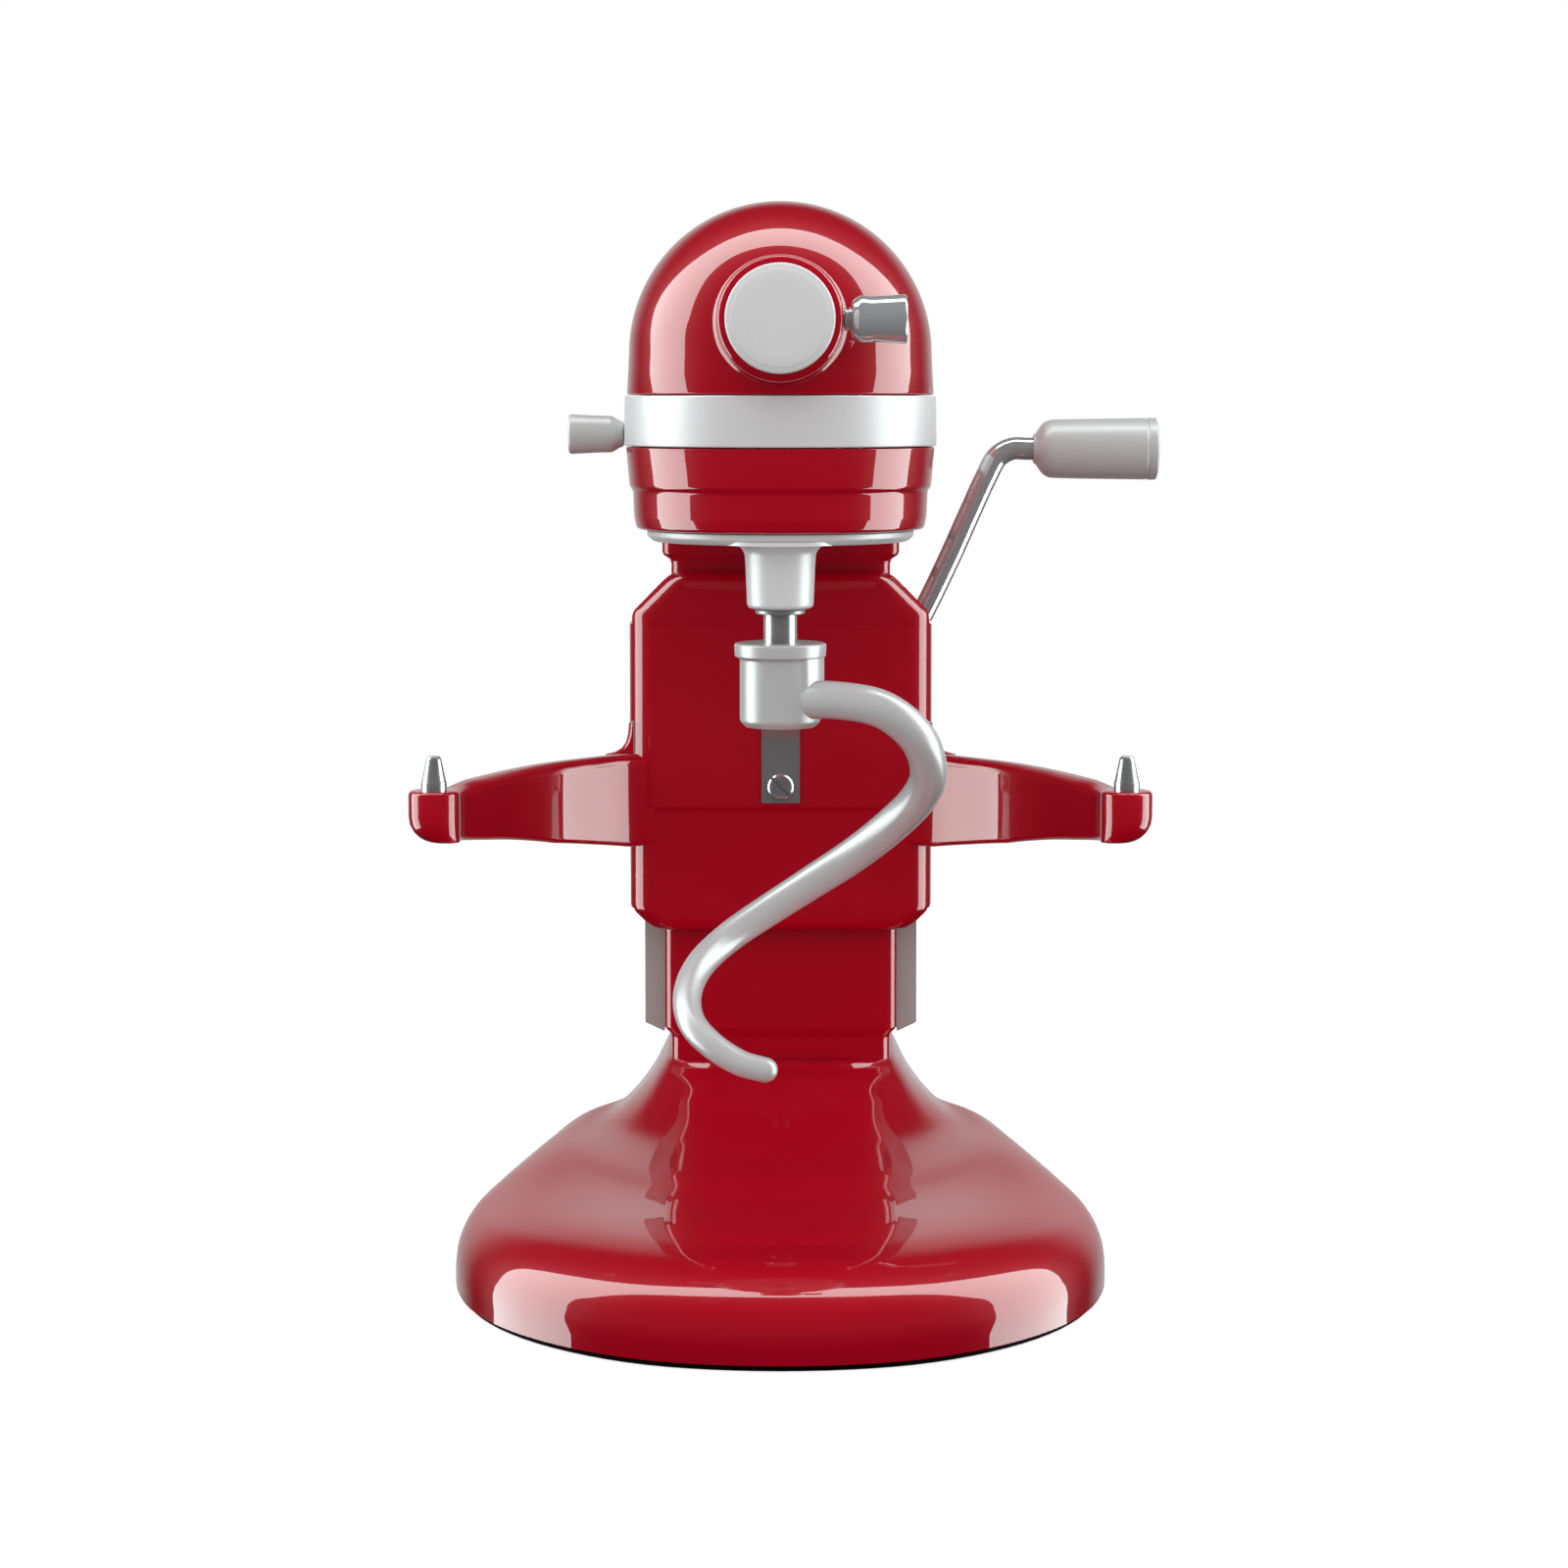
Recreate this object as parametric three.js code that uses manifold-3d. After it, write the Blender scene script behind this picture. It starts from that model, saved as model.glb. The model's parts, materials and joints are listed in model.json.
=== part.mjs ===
// Bowl-lift stand mixer: a die-cast stand with a head on top, an all-gear drive to a planetary
// beater shaft, a lift yoke for the bowl, and a spiral dough hook. Millimetres, +Z up.
// Every piece is built about the planetary axis (X = 0, Y = 0, the front of the mixer is -Y, the
// worktop is Z = 0), and the last lines move the whole so that its origin is at its base's centre.
import * as THREE from 'three';
import { mergeVertices } from 'three/addons/utils/BufferGeometryUtils.js';
import Module from 'manifold-3d';

const wasm = await Module();
wasm.setup();

// ---------- driving dimensions ----------
const HEIGHT = 419; // worktop to the top of the head
const HEAD_R = 58; // half width of the head's dome, and the radius of its round front
const SKIRT_R = 59; // half width at the trim band
const HEAD_Z = HEIGHT - HEAD_R; // height of the dome's centre line
const HEAD_REAR = 245; // rear end of the head
const REAR_DOME = 40; // depth of the rounded rear end
const REAR_SPLIT = 200; // where the rear cover meets the casings
const WALL = 2.8; // wall of the head's castings
const GAP = 0.3; // clearance between neighbours
const BAND_LOW = 326; // trim band's lower edge
const BAND_HIGH = 345;
const LOWER_Z = 293.7; // underside of the head
const FLOOR_LOW = 304; // gear case floor
const FLOOR_HIGH = 311;
const HUB_Z = 372.4; // attachment hub's axis
const HUB_R = 22.85; // radius of its barrel
const HUB_FACE = 78; // its face, in front of the planetary axis
const CAP_SEAT = 0.3; // depth of the seat in which the cap lies
const CLAMP_Y = -69; // axis of the attachment knob
const MOTOR_Z = 362; // motor's axis
const GLAND_Z = 325; // cord gland's axis
const BEATER_Y = -30; // beater shaft's axis, in front of the planetary axis
const COLUMN = { half: 49.8, front: 131, rear: 225, low: 63.3, high: 293.4 };
const RAIL = { front: 145, rear: 160, outer: 58.6, low: 71, high: 252 }; // guide rails on its sides
const YOKE = { half: 64.2, low: 119, high: 271, front: 118, plate: 8 }; // bowl lift yoke
const PIN_X = 133.6; // bowl pins, each side
const BOSS_R = 10.2; // bosses that carry them
const BOSS_TOP = 193.2; // flat tops on which the bowl's ears rest
const LEVER = { y: 22, z: 330.2, thick: 3 }; // speed lever's arm at rest
const HANDLE = { y: 170, z: 242, gripZ: 322.4 }; // lift handle's pivot and grip height
const CRANK = 21.4; // crank throw of the bowl lift
const CRANK_REST = THREE.MathUtils.degToRad(55); // crank's angle above level with the bowl up

// gears: teeth and module
const RING_TEETH = 48;
const PLANET_TEETH = 12;
const PLANET_MODULE = (-BEATER_Y * 2) / (RING_TEETH - PLANET_TEETH);
const MAIN_TEETH = 24;
const PINION_TEETH = 12;
const MAIN_MODULE = 2;
const WORM_WHEEL_TEETH = 24;
const WORM_WHEEL_R = 20;
const WORM_R = 7;
const WORM_TURNS = 3;
const WORM_PITCH = (2 * Math.PI * WORM_WHEEL_R) / WORM_WHEEL_TEETH;
const BEVEL_TEETH = 24;
const HUB_TEETH = 26;
const BEVEL_MODULE = 2;
const COUNTER_X = WORM_WHEEL_R + WORM_R; // countershaft's axis
const COUNTER_Y = Math.sqrt(((MAIN_TEETH + PINION_TEETH) * MAIN_MODULE / 2) ** 2 - COUNTER_X ** 2);

// ---------- finishes ----------
function finish(color, roughness, metalness) {
  return () => new THREE.MeshStandardMaterial({ color, roughness, metalness });
}
const redEnamel = finish(0x96001a, 0.15, 0.1);
const silver = finish(0xc9cacc, 0.35, 0.6);
const chrome = finish(0xe6e8ea, 0.06, 1);
const steel = finish(0xa9abae, 0.3, 1);
const darkSteel = finish(0x55575a, 0.4, 1);
const castAlloy = finish(0xb9babd, 0.55, 0.8);
const bronze = finish(0xb08a4a, 0.35, 1);
const pearl = finish(0xc2c5c8, 0.3, 0.2);
const rubber = finish(0x2b2b2d, 0.9, 0);
const blackPlastic = finish(0x1b1b1d, 0.5, 0);
const iron = finish(0x6a6c70, 0.6, 0.8);
const copper = finish(0xb4683a, 0.4, 1);
const boardGreen = finish(0x2d5a3c, 0.7, 0);

// ---------- solids ----------
// Merges a geometry's shared corners, drops its empty triangles and makes its faces point out.
function solid(geometry) {
  const bare = new THREE.BufferGeometry();
  bare.setAttribute('position', geometry.attributes.position.clone());
  if (geometry.index) bare.setIndex(geometry.index);
  const merged = mergeVertices(bare, 1e-3);
  const p = merged.attributes.position;
  const tris = [];
  let volume = 0;
  const [a, b, c] = [new THREE.Vector3(), new THREE.Vector3(), new THREE.Vector3()];
  for (let i = 0; i < merged.index.count; i += 3) {
    const [i0, i1, i2] = [0, 1, 2].map((n) => merged.index.getX(i + n));
    if (i0 === i1 || i1 === i2 || i0 === i2) continue;
    a.fromBufferAttribute(p, i0);
    b.fromBufferAttribute(p, i1);
    c.fromBufferAttribute(p, i2);
    volume += a.dot(b.cross(c));
    tris.push(i0, i1, i2);
  }
  if (volume < 0) tris.reverse();
  return new wasm.Manifold(new wasm.Mesh({
    numProp: 3, vertProperties: new Float32Array(p.array), triVerts: new Uint32Array(tris),
  }));
}

function geometryOf(manifold) {
  const mesh = manifold.getMesh();
  const geometry = new THREE.BufferGeometry();
  geometry.setAttribute('position', new THREE.BufferAttribute(new Float32Array(mesh.vertProperties), 3));
  geometry.setIndex(new THREE.BufferAttribute(new Uint32Array(mesh.triVerts), 1));
  return geometry;
}

function join(first, ...rest) {
  return geometryOf(rest.reduce((sum, g) => sum.add(solid(g)), solid(first)));
}

function cut(first, ...rest) {
  return geometryOf(rest.reduce((sum, g) => sum.subtract(solid(g)), solid(first)));
}

function common(first, second) {
  return geometryOf(solid(first).intersect(solid(second)));
}

function box(x0, x1, y0, y1, z0, z1) {
  return new THREE.BoxGeometry(x1 - x0, y1 - y0, z1 - z0)
    .translate((x0 + x1) / 2, (y0 + y1) / 2, (z0 + z1) / 2);
}

// A body turned about Z from [radius, height] points.
function turned(points, sides = 16) {
  const profile = points.map(([r, z]) => new THREE.Vector2(r, z));
  return new THREE.LatheGeometry(profile, sides).rotateX(Math.PI / 2);
}

// Turns a body that stands on Z so that it points along a direction, and moves its foot to a place.
function aim(geometry, direction, place) {
  const turn = new THREE.Quaternion()
    .setFromUnitVectors(new THREE.Vector3(0, 0, 1), new THREE.Vector3(...direction).normalize());
  return geometry.applyQuaternion(turn).translate(...place);
}

function rod(radius, length, sides = 16, top = radius) {
  return turned([[0, 0], [radius, 0], [top, length], [0, length]], sides);
}

function sleeve(inner, outer, length, sides = 14) {
  return turned([[inner, 0], [outer, 0], [outer, length], [inner, length], [inner, 0]], sides);
}

function upright(radius, x, y, z0, z1, sides = 12) {
  return rod(radius, z1 - z0, sides).translate(x, y, z0);
}

function plate(shape, z0, z1, curveSegments = 3) {
  return new THREE.ExtrudeGeometry(shape, { depth: z1 - z0, bevelEnabled: false, curveSegments })
    .translate(0, 0, z0);
}

function roundedRect(x0, x1, y0, y1, r) {
  const s = new THREE.Shape();
  s.moveTo(x0 + r, y0);
  s.lineTo(x1 - r, y0).absarc(x1 - r, y0 + r, r, -Math.PI / 2, 0);
  s.lineTo(x1, y1 - r).absarc(x1 - r, y1 - r, r, 0, Math.PI / 2);
  s.lineTo(x0 + r, y1).absarc(x0 + r, y1 - r, r, Math.PI / 2, Math.PI);
  s.lineTo(x0, y0 + r).absarc(x0 + r, y0 + r, r, Math.PI, Math.PI * 1.5);
  return s;
}

// A round bar along a curve, whose radius goes from the first to the last value on the way.
function bar(points, radii, sides, steps) {
  const path = new THREE.CatmullRomCurve3(points.map((p) => new THREE.Vector3(...p)), false, 'centripetal');
  const section = new THREE.Shape().absarc(0, 0, 1, 0, 2 * Math.PI);
  const geometry = new THREE.ExtrudeGeometry(section, {
    steps, extrudePath: path, bevelEnabled: false, curveSegments: sides / 2,
  });
  const centres = path.getSpacedPoints(steps);
  const p = geometry.attributes.position;
  const v = new THREE.Vector3();
  for (let i = 0; i < p.count; i += 1) {
    v.fromBufferAttribute(p, i);
    const distances = centres.map((c) => Math.abs(c.distanceTo(v) - 1));
    const nearest = distances.indexOf(Math.min(...distances));
    const t = (nearest / steps) * (radii.length - 1);
    const n = Math.min(Math.floor(t), radii.length - 2);
    const radius = THREE.MathUtils.lerp(radii[n], radii[n + 1], t - n);
    v.sub(centres[nearest]).multiplyScalar(radius).add(centres[nearest]);
    p.setXYZ(i, v.x, v.y, v.z);
  }
  return geometry;
}

// A lathe body cut in two across its axis and drawn out towards the rear: a head with a round
// front, straight sides and a rounded rear end.
function drawnOut(points, sides = 28) {
  const profile = points.map(([r, z]) => new THREE.Vector2(r, z));
  const geometry = new THREE.LatheGeometry(profile, sides, Math.PI / sides).rotateX(Math.PI / 2);
  const p = geometry.attributes.position;
  const widen = 1 / Math.cos(Math.PI / sides);
  for (let i = 0; i < p.count; i += 1) {
    const turn = Math.PI / sides + (Math.floor(i / points.length) / sides) * 2 * Math.PI;
    const rear = Math.cos(turn) < 0;
    const y = rear ? HEAD_REAR - REAR_DOME + p.getY(i) * (REAR_DOME / SKIRT_R) : p.getY(i);
    p.setXYZ(i, p.getX(i) * widen, y, p.getZ(i));
  }
  return geometry;
}

function domeArc(radius, steps) {
  return Array.from({ length: steps + 1 }, (_, i) => {
    const a = (i / steps) * (Math.PI / 2);
    return [i === steps ? 0 : radius * Math.cos(a), HEAD_Z + radius * Math.sin(a)];
  });
}

// ---------- gears ----------
// Outline with four corners a tooth; one tooth's middle is at the angle given.
function gearOutline(teeth, module, toothAt, internal = false) {
  const r = (teeth * module) / 2;
  const tip = r + (internal ? -0.8 : 0.8) * module;
  const root = r + (internal ? 1.1 : -1.1) * module;
  const step = (2 * Math.PI) / teeth;
  const corners = [];
  for (let i = 0; i < teeth; i += 1) {
    const a = toothAt + i * step;
    [[root, -0.26], [tip, -0.11], [tip, 0.11], [root, 0.26]].forEach(([radius, part]) => {
      corners.push(new THREE.Vector2(radius * Math.cos(a + part * step), radius * Math.sin(a + part * step)));
    });
  }
  return corners;
}

function gear(teeth, module, toothAt, width, bore) {
  const shape = new THREE.Shape(gearOutline(teeth, module, toothAt));
  if (bore) shape.holes.push(new THREE.Path().absarc(0, 0, bore, 0, 2 * Math.PI, true));
  return plate(shape, 0, width, 8);
}

// A gear whose section shrinks towards an apex above it.
function bevelGear(teeth, toothAt, apex, width, bore) {
  const blank = gear(teeth, BEVEL_MODULE, toothAt, width, 0);
  const p = blank.attributes.position;
  for (let i = 0; i < p.count; i += 1) {
    const scale = (apex - p.getZ(i)) / apex;
    p.setXY(i, p.getX(i) * scale, p.getY(i) * scale);
  }
  return cut(blank, rod(bore, width + 2).translate(0, 0, -1));
}

// ---------- assembly ----------
const mixer = new THREE.Group();

function add(name, geometry, material) {
  const mesh = new THREE.Mesh(geometryOf(solid(geometry)), material());
  mesh.name = name;
  mixer.add(mesh);
}

function mirrored(build) {
  return [['left', -1], ['right', 1]].forEach(([side, sign]) => build(side, sign));
}

// ---------- base ----------
const FEET = [[-98, -40], [98, -40], [0, -92], [-60, 196], [60, 196]];
const BOLTS = [[-32, 152], [32, 152], [-32, 205], [32, 205]];
const BASE_LOW = 3;
const BASE_WALL = 3.6;
const BASE_Y = 60; // middle of the base
const COLUMN_Y = (COLUMN.front + COLUMN.rear) / 2;

// Half of the base's plan, front to rear, as [half width, Y].
const BASE_PLAN = [
  [0, -121], [22, -119.5], [43, -115], [60, -108], [78, -96.5], [95, -81], [109, -62], [119, -40],
  [126, -3], [122, 28], [114, 62], [103, 118], [88, 168], [78, 200], [62, 224], [36, 235], [0, 235],
];

function planPoint(t, inset) {
  const curve = new THREE.CatmullRomCurve3([
    ...BASE_PLAN.map(([x, y]) => new THREE.Vector3(x, y, 0)),
    ...BASE_PLAN.slice(1, -1).reverse().map(([x, y]) => new THREE.Vector3(-x, y, 0)),
  ], true, 'centripetal');
  const p = curve.getPointAt(t);
  const centre = new THREE.Vector3(0, BASE_Y, 0);
  const out = p.clone().sub(centre);
  return centre.add(out.multiplyScalar(1 - inset / out.length()));
}

// The base's skin, from the foot of the rim over the rounded shoulder to the column's foot:
// each level is [share of the way from the rim to the column, height].
const BASE_LEVELS = [
  [0, BASE_LOW], [0, 10], [0.015, 15.4], [0.04, 19.2], [0.085, 22.8], [0.15, 25.3], [0.3, 29.8],
  [0.5, 35.2], [0.68, 38.4], [0.8, 42.5], [0.9, 50], [1, COLUMN.low - GAP],
];

// The column's foot in the direction of an angle, as a rounded rectangle.
function neckPoint(angle, inset) {
  const squareness = 1.35;
  const across = THREE.MathUtils.clamp(Math.cos(angle) * squareness, -1, 1);
  const along = THREE.MathUtils.clamp(Math.sin(angle) * squareness, -1, 1);
  const depth = (COLUMN.rear - COLUMN.front) / 2;
  return new THREE.Vector3((COLUMN.half - inset) * across, COLUMN_Y + (depth - inset) * along, 0);
}

function baseSkin(inset, sides) {
  const last = BASE_LEVELS.length - 1;
  const blank = new THREE.CylinderGeometry(1, 1, 1, sides, last).rotateX(Math.PI / 2);
  const p = blank.attributes.position;
  for (let i = 0; i < p.count; i += 1) {
    const row = Math.round((p.getZ(i) + 0.5) * last);
    const [share, height] = BASE_LEVELS[row];
    const angle = Math.atan2(p.getY(i), p.getX(i));
    const onAxis = Math.hypot(p.getX(i), p.getY(i)) < 0.5;
    const at = planPoint((angle / (2 * Math.PI) + 1.25) % 1, inset).lerp(neckPoint(angle, inset), share);
    if (onAxis) at.set(0, THREE.MathUtils.lerp(BASE_Y, COLUMN_Y, share), 0);
    p.setXYZ(i, at.x, at.y, height - inset);
  }
  return blank;
}

function baseCasting() {
  const skin = baseSkin(0, 40);
  const posts = FEET.map(([x, y]) => upright(10.5, x, y, BASE_LOW, 60, 8));
  const recesses = FEET.map(([x, y]) => upright(8.3, x, y, BASE_LOW - 1, 7, 12));
  const holes = BOLTS.map(([x, y]) => upright(3.3, x, y, 40, 70, 10));
  const shell = cut(skin, baseSkin(BASE_WALL, 28));
  return cut(join(shell, ...posts.map((post) => common(post, skin))), ...recesses, ...holes);
}

function base() {
  add('base_casting', baseCasting(), redEnamel);
  FEET.forEach(([x, y], i) => {
    const foot = turned([[0, 0], [6.5, 0], [8, 1.5], [8, 6.7], [0, 6.7]], 12).translate(x, y, 0);
    add(`rubber_foot_${i + 1}`, foot, rubber);
  });
  BOLTS.forEach(([x, y], i) => {
    const low = COLUMN.low - BASE_WALL - 2 * GAP;
    const bolt = turned([[0, low - 5], [5.5, low - 5], [5.5, low], [3, low], [3, 72], [0, 72]], 10);
    add(`column_bolt_${i + 1}`, bolt.translate(x, y, 0), darkSteel);
  });
}

// ---------- column ----------
const COLUMN_WALL = 3.6;
const NECK = { half: 46.6, low: 250, high: 276.8 }; // slimmer stretch below the top flange
const FOOT = { half: 46.8, high: RAIL.low }; // slimmer foot below the rails
const FORK_SLOT = { half: 9, low: 205, high: 274 }; // front slot of the bowl lift's fork

// Two bars that trim the column's sides to a half width between two heights.
function sideTrims(half, z0, z1) {
  const trim = box(half, half + 20, COLUMN.front - 1, COLUMN.rear + 1, z0, z1);
  return [trim, trim.clone().translate(-2 * half - 20, 0, 0)];
}

function columnCasting() {
  const { half, front, rear, low, high } = COLUMN;
  const section = (inset, r) => roundedRect(-half + inset, half - inset, front + inset, rear - inset, r);
  const outline = section(0, 12);
  outline.holes.push(section(COLUMN_WALL + 1.6, 7));
  const body = join(
    plate(outline, low, high), plate(section(1, 11), low, low + 9), plate(section(1, 11), high - 9, high),
    aim(rod(11, 32, 20), [1, 0, 0], [half - 34.5, HANDLE.y, HANDLE.z]),
  );
  return cut(
    body,
    ...sideTrims(FOOT.half, low - 1, FOOT.high), ...sideTrims(NECK.half, NECK.low, NECK.high),
    box(-FORK_SLOT.half, FORK_SLOT.half, front - 1, front + 20, FORK_SLOT.low, FORK_SLOT.high),
    box(-20, 20, 160, 200, low - 1, low + 10),
    box(-25, 25, 150, 200, high - 10, high + 1),
    aim(rod(7.3, 60, 20), [1, 0, 0], [10, HANDLE.y, HANDLE.z]),
    ...BOLTS.map(([x, y]) => upright(3.3, x, y, low - 1, low + 9.7)),
  );
}

// A rail on the column's side, with its lower end cut on a slant.
function guideRail(sign) {
  const inner = COLUMN.half + GAP;
  const face = new THREE.Shape([
    [inner, RAIL.low], [RAIL.outer, RAIL.low + 4], [RAIL.outer, RAIL.high], [inner, RAIL.high],
  ].map(([x, z]) => new THREE.Vector2(sign * x, z)));
  return plate(face, -RAIL.rear, -RAIL.front).rotateX(Math.PI / 2);
}

function column() {
  add('column_casting', columnCasting(), redEnamel);
  mirrored((side, sign) => add(`guide_rail_${side}`, guideRail(sign), silver));
  const bushStart = 15.5;
  const bush = sleeve(5.3, 7, COLUMN.half + 1.5 - bushStart, 20);
  add('handle_bush', aim(bush, [1, 0, 0], [bushStart, HANDLE.y, HANDLE.z]), bronze);
}

// ---------- head ----------
const SPLIT = box(-80, 80, -120, REAR_SPLIT, 200, 440);

// Outline of the casing below the trim band, with the step that runs round it.
const CASING_FOOT = [
  [0, LOWER_Z], [53, LOWER_Z], [55, 295], [56, 298.5], [56.5, 308.8], [57.8, 310.8], [58.4, 315.5],
];

function lowerCasing() {
  const body = drawnOut([
    ...CASING_FOOT, [SKIRT_R, BAND_LOW - GAP], [56.4, BAND_LOW - GAP], [56.4, BAND_HIGH], [0, BAND_HIGH],
  ]);
  const inside = drawnOut([[0, FLOOR_HIGH], [53.3, FLOOR_HIGH], [53.3, BAND_HIGH + 2], [0, BAND_HIGH + 2]]);
  return common(cut(
    body, inside,
    upright(51.7, 0, 0, LOWER_Z - 1, FLOOR_LOW, 40),
    box(-49, 49, 60, 190, LOWER_Z + 5, FLOOR_HIGH + 1),
    upright(13.3, 0, 0, FLOOR_LOW - 1, FLOOR_HIGH + 1, 24),
    upright(5.3, COUNTER_X, COUNTER_Y, FLOOR_LOW + 3, FLOOR_HIGH + 1, 16),
    box(-64, -50, 12, 78, LEVER.z - 4, LEVER.z + 4),
  ), SPLIT);
}

function trimBand() {
  const [inner, outer] = [SKIRT_R - 2.3, SKIRT_R + 0.7];
  const ring = drawnOut([
    [inner, BAND_LOW], [outer, BAND_LOW], [outer, BAND_HIGH], [inner, BAND_HIGH], [inner, BAND_LOW],
  ]);
  return common(cut(ring, box(-64, -50, 15, 75, LEVER.z - 3, LEVER.z + 3)), SPLIT);
}

function upperCasing() {
  const shell = drawnOut([
    [SKIRT_R - 0.2, BAND_HIGH + GAP], ...domeArc(HEAD_R, 7), ...domeArc(HEAD_R - WALL, 5).reverse(),
    [HEAD_R - WALL, BAND_HIGH + GAP], [SKIRT_R - 0.2, BAND_HIGH + GAP],
  ]);
  const barrel = aim(rod(HUB_R, HUB_FACE - 40, 32), [0, -1, 0], [0, -40, HUB_Z]);
  return common(cut(
    join(shell, barrel),
    aim(rod(20.4, 5, 32), [0, -1, 0], [0, -HUB_FACE + CAP_SEAT, HUB_Z]),
    aim(rod(15, 50, 28), [0, -1, 0], [0, -34, HUB_Z]),
    aim(rod(3.2, 30, 16), [1, 0, 0], [10, CLAMP_Y, HUB_Z]),
  ), SPLIT);
}

function rearCover() {
  const outer = drawnOut([...CASING_FOOT, [SKIRT_R, BAND_LOW], [SKIRT_R, BAND_HIGH], ...domeArc(HEAD_R, 7)]);
  const inner = drawnOut([[0, 296], [50, 296], [53.3, 307], [55.2, BAND_LOW], ...domeArc(HEAD_R - WALL, 5)]);
  const vents = [-30, -18, -6, 6, 18, 30].map((x) => box(x - 2.5, x + 2.5, 208, 225, 290, 299));
  return cut(
    common(cut(outer, inner), box(-80, 80, REAR_SPLIT + GAP, 300, 200, 440)),
    ...vents,
    aim(rod(3.3, 20, 16), [0, 1, 0], [0, HEAD_REAR - 12, MOTOR_Z]),
    aim(rod(8.3, 20, 20), [0, 1, 0], [0, HEAD_REAR - 12, GLAND_Z]),
  );
}

function head() {
  add('head_lower_casing', lowerCasing(), redEnamel);
  add('trim_band', trimBand(), silver);
  add('head_upper_casing', upperCasing(), redEnamel);
  add('rear_cover', rearCover(), redEnamel);
  const screw = turned([[0, 0], [3, 0], [3, 13.5], [6, 13.5], [6, 15], [4, 16.5], [0, 16.5]], 16);
  add('rear_cover_screw', aim(screw, [0, 1, 0], [0, HEAD_REAR - 13, MOTOR_Z]), steel);
  const gland = cut(
    turned([[0, 0], [10.5, 0], [10.5, 3], [8, 3], [8, 12], [6.5, 17], [0, 17]], 20),
    rod(3.6, 40, 16).translate(0, 0, -1),
  );
  add('cord_gland', aim(gland, [0, 1, 0], [0, HEAD_REAR - 12, GLAND_Z]), blackPlastic);
}

// ---------- drive ----------
const MAIN_TOOTH = Math.atan2(COUNTER_Y, COUNTER_X); // direction of the countershaft

function fixedGearCase() {
  const ring = new THREE.Shape().absarc(0, 0, 47, 0, 2 * Math.PI);
  const planetGap = Math.PI / RING_TEETH;
  ring.holes.push(new THREE.Path(
    gearOutline(RING_TEETH, PLANET_MODULE, -Math.PI / 2 + planetGap, true).reverse(),
  ));
  add('ring_gear', plate(ring, 295, FLOOR_LOW - GAP, 12), steel);
  add('centre_bearing', sleeve(6.3, 13, 7.6).translate(0, 0, FLOOR_LOW - 0.6), steel);
  const bracket = cut(
    join(
      box(-22, 44, -12, 54, 328, 332), box(-22, 22, 46.5, 53, 331, 382),
      box(-18, -10, 40, 53, FLOOR_HIGH + GAP, 329), box(20, 28, 42, 53, FLOOR_HIGH + GAP, 329),
    ),
    upright(6.6, 0, 0, 327, 333), upright(5.3, COUNTER_X, COUNTER_Y, 327, 333),
    aim(rod(13.3, 20, 24), [0, 1, 0], [0, 44, MOTOR_Z]),
  );
  add('gear_bracket', bracket, castAlloy);
  add('front_bearing', aim(sleeve(6.3, 13, 7), [0, 1, 0], [0, 46.3, MOTOR_Z]), steel);
}

const FRAME_Y = 189; // front of the motor's end frame

function motor() {
  const stator = new THREE.Shape().absarc(0, 0, 35, 0, 2 * Math.PI);
  stator.holes.push(new THREE.Path().absarc(0, 0, 21, 0, 2 * Math.PI, true));
  add('motor_stator', plate(stator, 0, 50, 12).rotateX(-Math.PI / 2).translate(0, 84, MOTOR_Z), iron);
  const arms = [0, 1, 2, 3].map((n) => box(16, n % 2 ? 40 : 50, -6, 6, 1, 7).rotateZ((n * Math.PI) / 2));
  const frame = join(
    sleeve(11.3, 18, 10), rod(18, 3).translate(0, 0, 9.5), rod(6, 36, 16).translate(0, 0, 12), ...arms,
  );
  const tapped = cut(frame, rod(3.3, 12, 16).translate(0, 0, 38));
  add('motor_end_frame', aim(tapped, [0, 1, 0], [0, FRAME_Y, MOTOR_Z]), castAlloy);
  add('rear_bearing', aim(sleeve(5.3, 11, 7), [0, 1, 0], [0, FRAME_Y + 0.5, MOTOR_Z]), steel);
  mirrored((side, sign) => {
    const brush = box(-8.75, 8.75, 158, 166, MOTOR_Z - 4, MOTOR_Z + 4);
    add(`motor_brush_${side}`, brush.translate(sign * 23.25, 0, 0), copper);
  });
  add('control_board', box(-34, 34, 130, 190, 312, 314), boardGreen);
}

function armature() {
  const shaft = aim(turned([
    [0, 0], [5, 0], [5, 3], [5.2, 3], [5.2, 32], [6, 32], [6, 46], [5, 46], [5, 191], [0, 191],
  ], 20), [0, 1, 0], [0, 6, MOTOR_Z]);
  const steps = 8;
  const thread = Array.from({ length: WORM_TURNS * steps + 1 }, (_, i) => {
    const a = (i / steps - WORM_TURNS / 2) * 2 * Math.PI;
    return [-6.4 * Math.cos(a), COUNTER_Y + (a / (2 * Math.PI)) * WORM_PITCH, MOTOR_Z + 6.4 * Math.sin(a)];
  });
  add('armature_shaft', join(shaft, bar(thread, [1.25, 1.25], 4, WORM_TURNS * steps)), steel);
  add('armature_core', aim(sleeve(5.3, 19, 50), [0, 1, 0], [0, 84, MOTOR_Z]), iron);
  add('commutator', aim(sleeve(5.3, 14, 20), [0, 1, 0], [0, 152, MOTOR_Z]), copper);
  const blades = Array.from({ length: 8 }, (_, i) => box(10, 27, -0.8, 0.8, 0, 9).rotateZ((i * Math.PI) / 4));
  const disc = cut(rod(27, 1.6, 32), rod(8, 4).translate(0, 0, -1));
  const fan = join(sleeve(5.3, 12, 10), disc, ...blades);
  add('cooling_fan', aim(fan, [0, 1, 0], [0, 60, MOTOR_Z]), blackPlastic);
}

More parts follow.
